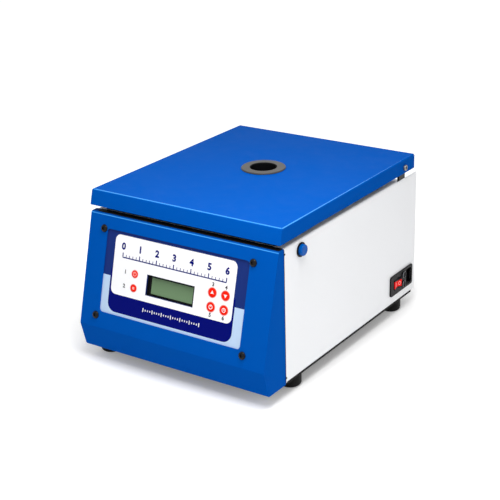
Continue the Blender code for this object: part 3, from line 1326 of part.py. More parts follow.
def inlet_module():
    """The rim and body of the inlet, with wells for the switch, the fuses and the socket."""
    rim_x = SIDE_X + CLEARANCE + INLET_PLATE_THICKNESS / 2
    rim = rectangle(INLET_LENGTH, INLET_HEIGHT, INLET_CORNER, (INLET_Y, INLET_Z))
    item = plate([rim], INLET_PLATE_THICKNESS, (rim_x, 0, 0), "YZ")
    body = span_box(
        (SIDE_X - INLET_BODY_DEPTH, INLET_Y - INLET_BODY_LENGTH / 2, INLET_Z - INLET_BODY_HEIGHT / 2),
        (rim_x, INLET_Y + INLET_BODY_LENGTH / 2, INLET_Z + INLET_BODY_HEIGHT / 2),
    )
    join(item, body)
    well_length = ROCKER_LENGTH + 2 * ROCKER_WELL_END_GAP
    well_height = ROCKER_HEIGHT + 2 * CLEARANCE
    well_depth = ROCKER_WELL_DEPTH + OVERRUN
    well = box(
        (well_depth, well_length, well_height),
        (INLET_FACE_X - ROCKER_WELL_DEPTH + well_depth / 2, ROCKER_Y, INLET_Z),
    )
    cut(item, well)
    for sign in (-1, 1):
        start = INLET_FACE_X - FUSE_STEM_LENGTH - CLEARANCE
        cut(item, cylinder(
            FUSE_STEM_RADIUS + CLEARANCE, (start, FUSE_Y, INLET_Z + sign * FUSE_PITCH / 2),
            FUSE_STEM_LENGTH + OVERRUN, "X",
        ))
    mouth = rounded(
        [
            (SOCKET_Y - SOCKET_LENGTH / 2, INLET_Z - SOCKET_HEIGHT / 2),
            (SOCKET_Y + SOCKET_LENGTH / 2, INLET_Z - SOCKET_HEIGHT / 2),
            (SOCKET_Y + SOCKET_LENGTH / 2, INLET_Z + SOCKET_HEIGHT / 2),
            (SOCKET_Y - SOCKET_LENGTH / 2, INLET_Z + SOCKET_HEIGHT / 2),
        ],
        [CLEARANCE, SOCKET_CORNER, SOCKET_CORNER, CLEARANCE], closed=True,
    )
    floor_x = INLET_FACE_X - SOCKET_DEPTH
    cut(item, plate([mouth], SOCKET_DEPTH + OVERRUN, (floor_x + (SOCKET_DEPTH + OVERRUN) / 2, 0, 0), "YZ"))
    for step in (-1, 0, 1):
        shift = PIN_SHIFT if step == 0 else -PIN_SHIFT / 2
        join(item, box(
            (2 * PIN_LENGTH, PIN_WIDTH, PIN_THICKNESS),
            (floor_x, SOCKET_Y + shift, INLET_Z + step * PIN_PITCH),
        ))
    finish(item, "inlet_module", BLACK_PLASTIC)


def rocker_switch():
    """The rocker about its pivot, drawn level and set to its off side."""
    half = ROCKER_LENGTH / 2
    end = ROCKER_PIVOT_DEPTH + ROCKER_END_PROUD
    middle = ROCKER_PIVOT_DEPTH + ROCKER_MIDDLE_PROUD
    outline = [
        (-ROCKER_BACK, -half / 2), (0, -half), (end, -half), (middle, 0), (end, half), (0, half),
        (-ROCKER_BACK, half / 2),
    ]
    item = plate([outline], ROCKER_HEIGHT, (ROCKER_X, ROCKER_Y, INLET_Z))
    item.rotation_euler = (0, 0, -ROCKER_SWING / 2)
    finish(item, "rocker_switch", ROCKER_RED)


def fuse_caps():
    for name, sign in (("upper", 1), ("lower", -1)):
        stem_end = INLET_FACE_X - FUSE_STEM_LENGTH
        face = INLET_FACE_X + CLEARANCE + FUSE_CAP_PROUD
        profile = [
            (0, face), (FUSE_CAP_RADIUS, face), (FUSE_CAP_RADIUS, INLET_FACE_X + CLEARANCE),
            (FUSE_STEM_RADIUS, INLET_FACE_X + CLEARANCE), (FUSE_STEM_RADIUS, stem_end), (0, stem_end),
        ]
        height = INLET_Z + sign * FUSE_PITCH / 2
        item = turned(profile, (0, FUSE_Y, height), along="X")
        slot = box((2 * FUSE_SLOT_DEPTH, FUSE_SLOT_WIDTH, 2 * FUSE_CAP_RADIUS), (face, FUSE_Y, height))
        finish(cut(item, slot), f"fuse_cap_{name}", GREY_PLASTIC)


def power_supply():
    """A transformer: an iron core with its winding through the middle."""
    x = SUPPLY_SIDE_INSET - SIDE_X
    y = BACK_Y - SUPPLY_BACK_INSET
    middle = BASE_TOP + CLEARANCE + SUPPLY_CORE[2] / 2
    item = join(box(SUPPLY_CORE, (x, y, middle)), box(SUPPLY_COIL, (x, y, middle)))
    finish(item, "power_supply", MOTOR_GREY)


clear_scene()
PARTS = new_collection("cytocentrifuge")
CUTTERS = new_collection("cutters")

BLUE_PAINT = principled("blue_paint", (0.0, 0.095, 0.45), 0.32)
WHITE_PAINT = principled("white_paint", (0.80, 0.81, 0.82), 0.35)
BLACK_STEEL = principled("black_steel", (0.015, 0.015, 0.017), 0.4, 0.6)
BRIGHT_STEEL = principled("bright_steel", (0.62, 0.62, 0.63), 0.25, 1.0)
ALUMINIUM = principled("aluminium", (0.72, 0.73, 0.75), 0.35, 1.0)
RUBBER = principled("rubber", (0.012, 0.012, 0.012), 0.75)
BLACK_PLASTIC = principled("black_plastic", (0.012, 0.012, 0.013), 0.4)
GREY_PLASTIC = principled("grey_plastic", (0.16, 0.16, 0.16), 0.35)
WHITE_PLASTIC = principled("white_plastic", (0.85, 0.85, 0.83), 0.4)
BLUE_PLASTIC = principled("blue_plastic", (0.0, 0.06, 0.36), 0.3)
CLEAR_PLASTIC = principled("clear_plastic", (0.9, 0.92, 0.93), 0.08, 0.0, 1.0)
LABEL_PRINT = principled("label_print", (0.82, 0.84, 0.88), 0.3)
DISPLAY_GREEN = principled("display_green", (0.147, 0.242, 0.127), 0.2)
KEY_RED = principled("key_red", (0.78, 0.03, 0.01), 0.35)
ROCKER_RED = principled("rocker_red", (0.8, 0.0, 0.0), 0.3)
BOARD_GREEN = principled("board_green", (0.02, 0.12, 0.04), 0.5)
MOTOR_GREY = principled("motor_grey", (0.12, 0.12, 0.13), 0.45, 0.7)

base_plate()
feet()
cover()
rear_panel()
fascia()
label_plate()
display()
keys()
panel_screws()
control_board()
lid_shell()
lid_liner()
port_ring()
port_window()
hinges()
release_button()
button_barrel()
latch_spring()
latch_bolt()
lid_tongue()
latch_bracket()
deck_seal()
chamber_bowl()
motor()
motor_mounts()
rotor_shaft()
rotor_head()
rotor_knob()
carriers()
inlet_module()
rocker_switch()
fuse_caps()
power_supply()
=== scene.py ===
"""Finishes, fine pieces, stage and camera for the bench cytocentrifuge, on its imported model.

Metres, in the model's own frame: the front faces -Y and the floor is at Z 0. The sloping front
panel has its own directions: across it, down its slope from the deck, and out of it.
"""

import json
import math

import bmesh
import bpy
from mathutils import Matrix, Vector

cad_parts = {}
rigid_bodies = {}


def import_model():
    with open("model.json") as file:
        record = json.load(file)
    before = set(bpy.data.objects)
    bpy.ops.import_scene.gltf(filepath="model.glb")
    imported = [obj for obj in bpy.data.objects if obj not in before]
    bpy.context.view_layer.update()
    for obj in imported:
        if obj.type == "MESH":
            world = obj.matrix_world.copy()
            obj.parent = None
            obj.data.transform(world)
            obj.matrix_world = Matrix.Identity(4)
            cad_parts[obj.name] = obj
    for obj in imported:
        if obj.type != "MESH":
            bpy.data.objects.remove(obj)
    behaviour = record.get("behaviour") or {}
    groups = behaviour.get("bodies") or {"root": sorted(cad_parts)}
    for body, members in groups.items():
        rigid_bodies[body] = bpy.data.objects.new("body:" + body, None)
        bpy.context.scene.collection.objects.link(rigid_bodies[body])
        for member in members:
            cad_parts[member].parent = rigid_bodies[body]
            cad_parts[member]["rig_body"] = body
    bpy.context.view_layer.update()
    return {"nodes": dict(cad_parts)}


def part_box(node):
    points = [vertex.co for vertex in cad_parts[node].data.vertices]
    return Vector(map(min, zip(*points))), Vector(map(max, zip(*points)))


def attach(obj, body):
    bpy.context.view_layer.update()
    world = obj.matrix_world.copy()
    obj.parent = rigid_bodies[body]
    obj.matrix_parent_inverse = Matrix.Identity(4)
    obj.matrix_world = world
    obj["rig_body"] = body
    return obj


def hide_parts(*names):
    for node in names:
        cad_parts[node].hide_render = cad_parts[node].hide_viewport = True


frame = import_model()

bl_info = {
    "name": "Bench cytocentrifuge finishes",
    "version": (1, 0, 0),
    "blender": (4, 5, 0),
    "location": "View3D > Sidebar > Cytocentrifuge",
    "description": "Finishes and fine pieces for a bench cytocentrifuge",
    "category": "Object",
}

LID_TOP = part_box("lid_shell")[1].z
RING_LOW, RING_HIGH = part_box("port_ring")
BOWL_LOW, BOWL_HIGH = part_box("chamber_bowl")
MOTOR_LOW, MOTOR_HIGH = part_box("motor")
SHAFT_LOW, SHAFT_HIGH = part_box("rotor_shaft")
KNOB_LOW, KNOB_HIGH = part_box("rotor_knob")
BARREL_LOW, BARREL_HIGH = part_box("button_barrel")
BUTTON_LOW, BUTTON_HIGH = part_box("release_button")
ROTOR_Y = (BOWL_LOW.y + BOWL_HIGH.y) / 2
ROTOR_AXIS = (0, ROTOR_Y, 0)

# Front panel: its upper edge, how far it leans over its height, and the directions on it
PANEL_EDGE = Vector((0, -0.1642, 0.2050))
PANEL_LEAN, PANEL_HEIGHT = 0.0398, 0.1502
PANEL_TILT = math.atan2(PANEL_LEAN, PANEL_HEIGHT)
PANEL_DOWN = Vector((0, -math.sin(PANEL_TILT), -math.cos(PANEL_TILT)))
PANEL_OUT = Vector((0, -math.cos(PANEL_TILT), math.sin(PANEL_TILT)))
PANEL_TURN = (math.pi / 2 - PANEL_TILT, 0, 0)

# Label: its middle across, its front out of the panel, and the middle of its white field
LABEL_X = -0.0045
LABEL_FRONT = -0.0018
WHITE_X = LABEL_X - 0.0018

# Keys: each one's body, place across, drop and radius, then the gap round it and its rise
KEYS = {
    "key_run": ("run_key", -0.0670, 0.0715, 0.0047),
    "key_stop": ("stop_key", -0.0670, 0.0906, 0.0047),
    "key_up": ("up_key", 0.0587, 0.0700, 0.0059),
    "key_down": ("down_key", 0.0791, 0.0700, 0.0059),
    "key_speed": ("speed_key", 0.0587, 0.0888, 0.0059),
    "key_time": ("time_key", 0.0791, 0.0888, 0.0059),
}
KEY_GAP = 0.0003
KEY_RISE = 0.0004

# Display: its middle, and the width and height of its window
DISPLAY_X = -0.0079
DISPLAY_DROP = 0.0817
WINDOW_SIZE = (0.0775, 0.0280)

# Screws: half of a hexagon socket's width over its corners
HEX_REACH = 0.0023

# Mains rocker: its pivot, and its turn in the off position
ROCKER_PIVOT = (0.1463, 0.1465, 0.0490)
ROCKER_REST = math.radians(-7)

# Slide carriers: their pivots' distance from the rotor's axis and height, and their tilt at rest
PIVOT_RADIUS = 0.0760
PIVOT_HEIGHT = 0.1655
CARRIER_TILT = math.radians(-15)

# The photograph's own viewpoint: place, then direction, height and roll in degrees, and focal length
CAMERA_PLACE = (0.92561, -1.35295, 0.77405)
CAMERA_ANGLES = (34.544, 21.713, -1.521)
CAMERA_LENS = 90.17

UP = Vector((0, 0, 1))
RIGHT = Vector((1, 0, 0))
SIDES = (("left", -1), ("right", 1))

# Points closer than this are one point, in new pieces and in copies of the model's pieces
MERGE = 0.000002
COPY_MERGE = 0.00001

# Faces that meet at less than the first angle are one flat face. Those that meet at less than the
# second are shaded as one smooth surface
FLAT_ANGLE = math.radians(0.3)
SMOOTH_ANGLE = math.radians(40)

# An edge gets a painted highlight where its outward direction rises by at least this much
HIGHLIGHT_RISE = 0.35


def linear(code):
    """The linear colour of a colour written as six hexadecimal digits."""
    parts = [int(code[place:place + 2], 16) / 255 for place in (0, 2, 4)]
    return [part / 12.92 if part <= 0.04045 else ((part + 0.055) / 1.055) ** 2.4 for part in parts]


def length_setting(name, description, default, least):
    return bpy.props.FloatProperty(
        name=name, description=description, default=default, min=least, unit="LENGTH",
    )


def count_setting(name, description, default, least):
    return bpy.props.IntProperty(name=name, description=description, default=default, min=least)


def colour_setting(name, description, code):
    return bpy.props.FloatVectorProperty(
        name=name, description=description, default=linear(code), subtype="COLOR", size=3,
    )


class CytocentrifugeSizes(bpy.types.PropertyGroup):
    """Sizes of the fine pieces."""

    sheet_edge: length_setting("Sheet edge", "Rounding of the edges of folded sheet", 0.0011, 0.0001)
    sheet_steps: count_setting("Sheet edge steps", "Steps across the rounding of a sheet edge", 2, 1)
    machined_edge: length_setting("Machined edge", "Rounding of machined and moulded edges", 0.0003, 0.0001)
    round_sides: count_setting("Large round sides", "Facets round the port ring and the bowl", 128, 32)
    small_sides: count_setting("Small round sides", "Facets round screws, keys and knobs", 48, 16)
    print_step: length_setting("Print step", "Thickness of one printed field on the label", 0.00006, 0.00001)


class CytocentrifugeColours(bpy.types.PropertyGroup):
    """Colours of the finishes."""

    blue: colour_setting("Blue paint", "Lid and front panel", "0051AC")
    white: colour_setting("White paint", "Cover and back", "F4F5F7")
    label_deep: colour_setting("Label border", "Upper border of the label", "1A2F72")
    label_pale: colour_setting("Label lower border", "Lower border of the label", "BCD3EE")
    label_navy: colour_setting("Label band", "Band under the white field", "00086C")
    display: colour_setting("Display", "Resting liquid crystal", "6B8764")
    key: colour_setting("Keys", "Key tops", "F3200A")


def sizes():
    return bpy.context.scene.cytocentrifuge_sizes


def colours():
    return bpy.context.scene.cytocentrifuge_colours


# Shader groups

SOCKET_KINDS = {
    "Vector": "NodeSocketVector", "Centre": "NodeSocketVector",
    "Colour": "NodeSocketColor", "Dust": "NodeSocketColor",
}
SMOOTH = {"interpolation_type": "SMOOTHSTEP"}


def fed(tree, node, **inputs):
    """Sets a node's inputs. An input is a value or a socket, by its name, or by its place as in i0."""
    for name, value in inputs.items():
        numbered = name[0] == "i" and name[1:].isdigit()
        socket = node.inputs[int(name[1:])] if numbered else node.inputs[name.replace("_", " ")]
        if isinstance(value, bpy.types.NodeSocket):
            tree.links.new(value, socket)
        else:
            socket.default_value = value
    return node


def added(tree, kind, settings=None, **inputs):
    """A new node with its settings and its inputs."""
    node = tree.nodes.new(kind)
    for name, value in (settings or {}).items():
        setattr(node, name, value)
    return fed(tree, node, **inputs)


def math_node(tree, operation, *values):
    inputs = {f"i{place}": value for place, value in enumerate(values)}
    return added(tree, "ShaderNodeMath", {"operation": operation}, **inputs).outputs[0]


def vector_node(tree, operation, output="Vector", **inputs):
    return added(tree, "ShaderNodeVectorMath", {"operation": operation}, **inputs).outputs[output]


def noise(tree, vector, scale, **inputs):
    return added(tree, "ShaderNodeTexNoise", Vector=vector, Scale=scale, **inputs).outputs["Fac"]


def ranged(tree, value, settings=None, **inputs):
    """A value moved from one range to another."""
    return added(tree, "ShaderNodeMapRange", settings, Value=value, **inputs).outputs["Result"]


def blended(tree, factor, first, second):
    """A colour between two others."""
    return added(
        tree, "ShaderNodeMix", {"data_type": "RGBA"}, Factor=factor, i6=first, i7=second,
    ).outputs[2]


def new_group(name, inputs, outputs):
    """An empty shader group, the values given to it and its end. A label tells its socket's kind."""
    tree = bpy.data.node_groups.new(name, "ShaderNodeTree")
    for way, labels in (("INPUT", inputs), ("OUTPUT", outputs)):
        for label in labels.split():
            kind = SOCKET_KINDS.get(label, "NodeSocketFloat")
            tree.interface.new_socket(label, in_out=way, socket_type=kind)
    return tree, tree.nodes.new("NodeGroupInput").outputs, tree.nodes.new("NodeGroupOutput")


def build_peel():
    """The fine orange peel of sprayed and moulded surfaces, as a height in metres."""
    tree, given, end = new_group("orange_peel", "Vector Scale Depth", "Height")
    coarse = noise(tree, given["Vector"], given["Scale"], Detail=2.0)
    finer = math_node(tree, "MULTIPLY", given["Scale"], 3.3)
    fine = noise(tree, given["Vector"], finer, Detail=1.0)
    both = math_node(tree, "MULTIPLY_ADD", fine, 0.4, coarse)
    fed(tree, end, Height=math_node(tree, "MULTIPLY", both, given["Depth"]))


def build_drift():
    """Slow changes of tone across a surface."""
    tree, given, end = new_group("tone_drift", "Vector Colour Scale Amount", "Colour")
    cloud = noise(tree, given["Vector"], given["Scale"], Detail=3.0)
    centred = math_node(tree, "SUBTRACT", cloud, 0.5)
    factor = math_node(tree, "MULTIPLY_ADD", centred, given["Amount"], 1.0)
    fed(tree, end, Colour=vector_node(tree, "SCALE", i0=given["Colour"], Scale=factor))


def build_handling():
    """Roughness that wanders between two values, with faint streaks of wear."""
    tree, given, end = new_group("handling_marks", "Vector Scale Low High", "Roughness")
    cloud = noise(tree, given["Vector"], given["Scale"], Detail=5.0, Distortion=0.6)
    rough = ranged(
        tree, cloud, SMOOTH, From_Min=0.3, From_Max=0.7, To_Min=given["Low"], To_Max=given["High"],
    )
    fed(tree, end, Roughness=rough)


def build_brush():
    """Fine parallel lines along X of the vector it is given, as a height and a tone."""
    tree, given, end = new_group("brushed_lines", "Vector Scale Depth", "Height Tone")
    drawn = vector_node(tree, "MULTIPLY", i0=given["Vector"], i1=(0.02, 1.0, 1.0))
    lines = noise(tree, drawn, given["Scale"], Detail=4.0, Roughness=0.7)
    fed(tree, end, Height=math_node(tree, "MULTIPLY", lines, given["Depth"]), Tone=lines)


def build_rings():
    """Fine rings round an upright axis through a centre, as a turned face shows."""
    tree, given, end = new_group("turned_rings", "Vector Centre Scale Depth", "Height Tone")
    offset = vector_node(tree, "SUBTRACT", i0=given["Vector"], i1=given["Centre"])
    parts = added(tree, "ShaderNodeSeparateXYZ", Vector=offset).outputs
    flat = added(tree, "ShaderNodeCombineXYZ", X=parts["X"], Y=parts["Y"]).outputs["Vector"]
    radius = vector_node(tree, "LENGTH", "Value", i0=flat)
    drawn = added(tree, "ShaderNodeCombineXYZ", X=radius, Y=parts["Z"]).outputs["Vector"]
    lines = noise(tree, drawn, given["Scale"], Detail=3.0)
    fed(tree, end, Height=math_node(tree, "MULTIPLY", lines, given["Depth"]), Tone=lines)


def build_dust():
    """A little dust that settles on faces that look up."""
    tree, given, end = new_group("settled_dust", "Vector Colour Dust Amount", "Colour")
    normal = tree.nodes.new("ShaderNodeNewGeometry").outputs["Normal"]
    facing = added(tree, "ShaderNodeSeparateXYZ", Vector=normal).outputs["Z"]
    upward = math_node(tree, "MAXIMUM", facing, 0.0)
    patches = math_node(tree, "POWER", noise(tree, given["Vector"], 60.0, Detail=6.0), 3.0)
    settled = math_node(tree, "MULTIPLY", math_node(tree, "MULTIPLY", upward, patches), given["Amount"])
    fed(tree, end, Colour=blended(tree, settled, given["Colour"], given["Dust"]))


def build_halo():
    """A soft round patch about a point: one at its middle and nothing at its reach."""
    tree, given, end = new_group("soft_round", "Vector Centre Radius Reach", "Mask")
    away = vector_node(tree, "DISTANCE", "Value", i0=given["Vector"], i1=given["Centre"])
    mask = ranged(
        tree, away, SMOOTH, From_Min=given["Radius"], From_Max=given["Reach"], To_Min=1.0, To_Max=0.0,
    )
    fed(tree, end, Mask=mask)


BUILDERS = {
    "orange_peel": build_peel,
    "tone_drift": build_drift,
    "handling_marks": build_handling,
    "brushed_lines": build_brush,
    "turned_rings": build_rings,
    "settled_dust": build_dust,
    "soft_round": build_halo,
}


def grouped(tree, name, **inputs):
    """The outputs of one of the shader groups in a material. The group is built at its first use."""
    if name not in bpy.data.node_groups:
        BUILDERS[name]()
    node = tree.nodes.new("ShaderNodeGroup")
    node.node_tree = bpy.data.node_groups[name]
    return fed(tree, node, **inputs).outputs


def drifting(tree, place, colour, scale, amount):
    return grouped(tree, "tone_drift", Vector=place, Colour=colour, Scale=scale, Amount=amount)["Colour"]


def worn(tree, place, scale, low, high):
    return grouped(tree, "handling_marks", Vector=place, Scale=scale, Low=low, High=high)["Roughness"]


def bumped(tree, height):
    return added(tree, "ShaderNodeBump", Strength=1.0, Distance=1.0, Height=height).outputs["Normal"]


def peeled(tree, place, scale, depth):
    return bumped(tree, grouped(tree, "orange_peel", Vector=place, Scale=scale, Depth=depth)["Height"])


# Finishes

DUST = (0.55, 0.54, 0.52, 1.0)
MICRON = 0.000001

# Paint, plastic, rubber and print: the material's name, colour, lowest and highest roughness,
# orange peel's scale and depth in microns, tone's scale and amount, dust, and specular level
SURFACES = {
    "blue_paint": ("satin_blue_paint", "blue", 0.38, 0.46, 420, 22, 5, 0.07, 0.02, 0.004),
    # Painted highlights: lighter blue and white on upward edges and bends, where light catches them
    "blue_edge": ("painted_highlight_blue_edge", "328DDA", 0.25, 0.35, 420, 10, 30, 0.25, 0, 0.2),
    "white_edge": ("painted_highlight_white_edge", "FBFBFC", 0.3, 0.4, 420, 10, 30, 0.02, 0, 0.3),
    "white_paint": ("satin_white_paint", "white", 0.38, 0.48, 420, 20, 5, 0.03, 0, 0.3),
    "black_steel": ("blackened_steel", (0.005, 0.005, 0.006), 0.12, 0.22, 800, 4, 40, 0.5, 0, 0.15),
    "rubber": ("black_rubber", (0.007, 0.007, 0.007), 0.45, 0.6, 1500, 10, 30, 0.4, 0.01, 0.08),
    "black_plastic": ("moulded_black_plastic", (0.004, 0.004, 0.005), 0.24, 0.36, 1400, 8, 30, 0.3, 0, 0.07),
    "grey_plastic": ("satin_grey_plastic", "3F3D3C", 0.26, 0.38, 1000, 10, 60, 0.35, 0, 0.2),
    "white_plastic": ("moulded_white_plastic", (0.80, 0.80, 0.77), 0.32, 0.45, 1200, 10, 20, 0.05, 0, 0.5),
    # A painted highlight for the fuse caps' rounded rims
    "rim_highlight": ("painted_highlight_cap_rim", "8C8C90", 0.3, 0.4, 1000, 10, 60, 0.3, 0, 0.2),
    "blue_plastic": ("glossy_blue_plastic", "0054AA", 0.10, 0.18, 700, 6, 30, 0.08, 0, 0.08),
    "label_print": ("label_border_print", "label_deep", 0.3, 0.42, 900, 4, 12, 0.05, 0, 0.05),
    "key_red": ("red_key_plastic", "key", 0.3, 0.4, 1500, 4, 60, 0.06, 0, 0.06),
    "rocker_red": ("red_rocker_plastic", "EE0805", 0.18, 0.26, 1500, 4, 60, 0.08, 0, 0.1),
    "board_green": ("board_lacquer", (0.015, 0.10, 0.035), 0.25, 0.4, 2500, 20, 180, 0.7, 0.05, 0.5),
    "motor_grey": ("motor_enamel", (0.10, 0.10, 0.11), 0.35, 0.5, 900, 20, 25, 0.2, 0.05, 0.5),
    "label_pale": ("label_pale_print", "label_pale", 0.32, 0.42, 900, 4, 12, 0.03, 0, 0.1),
    "label_navy": ("label_navy_print", "label_navy", 0.3, 0.4, 900, 4, 12, 0.08, 0, 0.04),
    "print_black": ("black_print", (0.008, 0.008, 0.01), 0.4, 0.5, 1500, 3, 60, 0.2, 0, 0.5),
    "print_white": ("white_print", (0.86, 0.86, 0.87), 0.35, 0.45, 1500, 3, 60, 0.03, 0, 0.5),
    "print_pink": ("pink_print", "FFA9A0", 0.35, 0.45, 1500, 3, 60, 0.05, 0, 0.5),
    "frosted": ("frosted_glass_end", (0.80, 0.82, 0.82), 0.6, 0.75, 4000, 10, 60, 0.04, 0, 0.5),
    "card": ("filter_card", (0.78, 0.76, 0.70), 0.85, 0.95, 3000, 40, 90, 0.12, 0, 0.1),
}
EXTRAS = {
    "white_plastic": {"Subsurface_Weight": 0.08, "Subsurface_Scale": 0.002},
    "motor_grey": {"Metallic": 0.3},
}


def tint(colour):
    """A colour with its fourth number, from a setting's name, six hexadecimal digits or three numbers."""
    if isinstance(colour, str):
        colour = getattr(colours(), colour) if hasattr(colours(), colour) else linear(colour)
    return (*colour, 1.0)


def new_finish(name, **uniform):
    """A material with its shader's plain numbers set, and the object coordinates it is drawn on."""
    material = bpy.data.materials.new(name)
    material.use_nodes = True
    tree = material.node_tree
    shader = fed(tree, tree.nodes["Principled BSDF"], **uniform)
    return material, tree, shader, tree.nodes.new("ShaderNodeTexCoord").outputs["Object"]


def surfaced(name, colour, low, high, peel, depth, drift, amount, dust, specular, **uniform):
    """Paint, plastic, rubber or print: toned colour, roughness that wanders and an orange peel."""
    material, tree, shader, place = new_finish(name, Specular_IOR_Level=specular, **uniform)
    toned = drifting(tree, place, tint(colour), drift, amount)
    if dust:
        toned = grouped(
            tree, "settled_dust", Vector=place, Colour=toned, Dust=DUST, Amount=dust,
        )["Colour"]
    fed(
        tree, shader, Base_Color=toned, Roughness=worn(tree, place, 14.0, low, high),
        Normal=peeled(tree, place, peel, depth * MICRON),
    )
    return material


def lined_metal(name, colour, low, high, scale=900.0, depth=4, turn=(0, 0, 0), centre=None):
    """Metal with a brushed grain along X, or X turned, or with fine rings round a centre."""
    material, tree, shader, place = new_finish(name, Metallic=1.0)
    mapped = added(tree, "ShaderNodeMapping", Vector=place, Rotation=turn).outputs["Vector"]
    inputs = {"Vector": mapped, "Scale": scale, "Depth": depth * MICRON}
    if centre:
        lines, drift = grouped(tree, "turned_rings", Centre=centre, **inputs), 14.0
    else:
        lines, drift = grouped(tree, "brushed_lines", **inputs), 20.0
    fed(
        tree, shader, Base_Color=drifting(tree, mapped, tint(colour), drift, 0.12),
        Roughness=ranged(tree, lines["Tone"], To_Min=low, To_Max=high),
        Normal=bumped(tree, lines["Height"]),
    )
    return material


def white_field_finish():
    """White print with a painted red glow round each key."""
    material, tree, shader, place = new_finish("label_white_print", Specular_IOR_Level=0.3)
    # A painted glow of red light round each key
    red_glow = None
    for body, across, drop, radius in KEYS.values():
        spot = panel_spot(across, drop, LABEL_FRONT)
        mask = grouped(
            tree, "soft_round", Vector=place, Centre=spot, Radius=radius, Reach=radius * 1.35,
        )["Mask"]
        red_glow = mask if red_glow is None else math_node(tree, "MAXIMUM", red_glow, mask)
    toned = drifting(tree, place, tint("FBFBFD"), 12.0, 0.03)
    fed(
        tree, shader, Base_Color=blended(tree, red_glow, toned, tint("FF7A66")),
        Roughness=worn(tree, place, 20.0, 0.32, 0.45), Normal=peeled(tree, place, 900.0, 3 * MICRON),
    )
    return material


def display_finish():
    """Resting liquid crystal: grey-green, a little darker at its top as painted shade, with a faint pixel
    grid.
    """
    material, tree, shader, place = new_finish("display_crystal", Specular_IOR_Level=0.15)
    low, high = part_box("display_glass")
    rise = added(tree, "ShaderNodeSeparateXYZ", Vector=place).outputs["Z"]
    fade = ranged(tree, rise, From_Min=low.z, From_Max=high.z)
    # Painted shade: the crystal is darker towards its top
    foot, head = [tint([part * share for part in colours().display]) for share in (1.06, 0.80)]
    grid = added(tree, "ShaderNodeTexChecker", Vector=place, Scale=2400.0).outputs["Fac"]
    fed(
        tree, shader,
        Base_Color=drifting(tree, place, blended(tree, fade, foot, head), 40.0, 0.05),
        Roughness=worn(tree, place, 60.0, 0.35, 0.5),
        Normal=bumped(tree, math_node(tree, "MULTIPLY", grid, 0.8 * MICRON)),
    )
    return material


def clear_finish(name, colour, roughness):
    """Clear sheet or glass with faint wipe marks."""
    material, tree, shader, place = new_finish(name, Transmission_Weight=1.0, IOR=1.46)
    fed(
        tree, shader, Base_Color=drifting(tree, place, tint(colour), 30.0, 0.03),
        Roughness=worn(tree, place, 40.0, roughness, roughness * 2.5),
    )
    return material


MAKERS = {
    "bright_steel": lambda: lined_metal("brushed_steel", (0.60, 0.60, 0.61), 0.22, 0.38),
    "screw_steel": lambda: lined_metal("dull_screw_steel", (0.26, 0.25, 0.24), 0.3, 0.45),
    "aluminium": lambda: lined_metal("machined_aluminium", (0.74, 0.75, 0.77), 0.28, 0.42, 700.0, 5),
    "copper": lambda: lined_metal(
        "wound_copper", (0.62, 0.28, 0.12), 0.3, 0.5, 1600.0, 60, (0, 0, math.pi / 2),
    ),
    "bowl_steel": lambda: lined_metal(
        "spun_steel", (0.60, 0.60, 0.61), 0.2, 0.34, 1400.0, 5, centre=ROTOR_AXIS,
    ),
    "clear_plastic": lambda: clear_finish("clear_window", (0.93, 0.95, 0.96), 0.04),
    "glass": lambda: clear_finish("slide_glass", (0.96, 0.985, 0.975), 0.01),
    "display_green": display_finish,
    "label_white": white_field_finish,
}
made_finishes = {}


def finish(name):
    """The finish of that name, made at its first use."""
    if name not in made_finishes:
        if name in SURFACES:
            made_finishes[name] = surfaced(*SURFACES[name], **EXTRAS.get(name, {}))
        else:
            made_finishes[name] = MAKERS[name]()
    return made_finishes[name]


# Modelling steps


def panel_spot(across, drop, out=0.0):
    """A point on the sloping panel: across it, down its slope from the deck, and out of it."""
    return PANEL_EDGE + RIGHT * across + PANEL_DOWN * drop + PANEL_OUT * out


def only(piece):
    """Selects one piece alone."""
    if bpy.context.object and bpy.context.object.mode != "OBJECT":
        bpy.ops.object.mode_set(mode="OBJECT")
    bpy.ops.object.select_all(action="DESELECT")
    piece.select_set(True)
    bpy.context.view_layer.objects.active = piece


def opened(piece):
    """Opens a piece for editing, with all of it selected."""
    only(piece)
    bpy.ops.object.mode_set(mode="EDIT")
    bpy.ops.mesh.select_all(action="SELECT")


def placed(name):
    """Names the new piece and moves its place into its mesh."""
    piece = bpy.context.active_object
    only(piece)
    piece.name = name
    piece.data.name = name
    bpy.ops.object.transform_apply(location=True, rotation=True, scale=True)
    return piece


def closed(piece):
    """Merges doubled points, fills open rings and turns the faces outwards."""
    opened(piece)
    bpy.ops.mesh.remove_doubles(threshold=MERGE)
    bpy.ops.mesh.fill_holes(sides=0)
    bpy.ops.mesh.select_all(action="SELECT")
    bpy.ops.mesh.normals_make_consistent(inside=False)
    bpy.ops.object.mode_set(mode="OBJECT")
    return piece


def turned(name, rings, place=(0, 0, 0), along=UP, sides=None):
    """A round piece, grown from a circle ring by ring. A ring is its radius and its height."""
    axis = Vector(along).normalized()
    base = Vector(place)
    bpy.ops.object.select_all(action="DESELECT")
    radius, height = rings[0]
    bpy.ops.mesh.primitive_circle_add(
        vertices=sides or sizes().small_sides, radius=radius, location=base + axis * height,
        rotation=UP.rotation_difference(axis).to_euler(),
    )
    opened(bpy.context.active_object)
    for next_radius, next_height in rings[1:]:
        bpy.ops.mesh.extrude_edges_move(
            TRANSFORM_OT_translate={"value": axis * (next_height - height)},
        )
        share = next_radius / radius
        bpy.ops.transform.resize(value=(share, share, share), center_override=base + axis * next_height)
        radius, height = next_radius, next_height
    bpy.ops.object.mode_set(mode="OBJECT")
    return closed(placed(name))


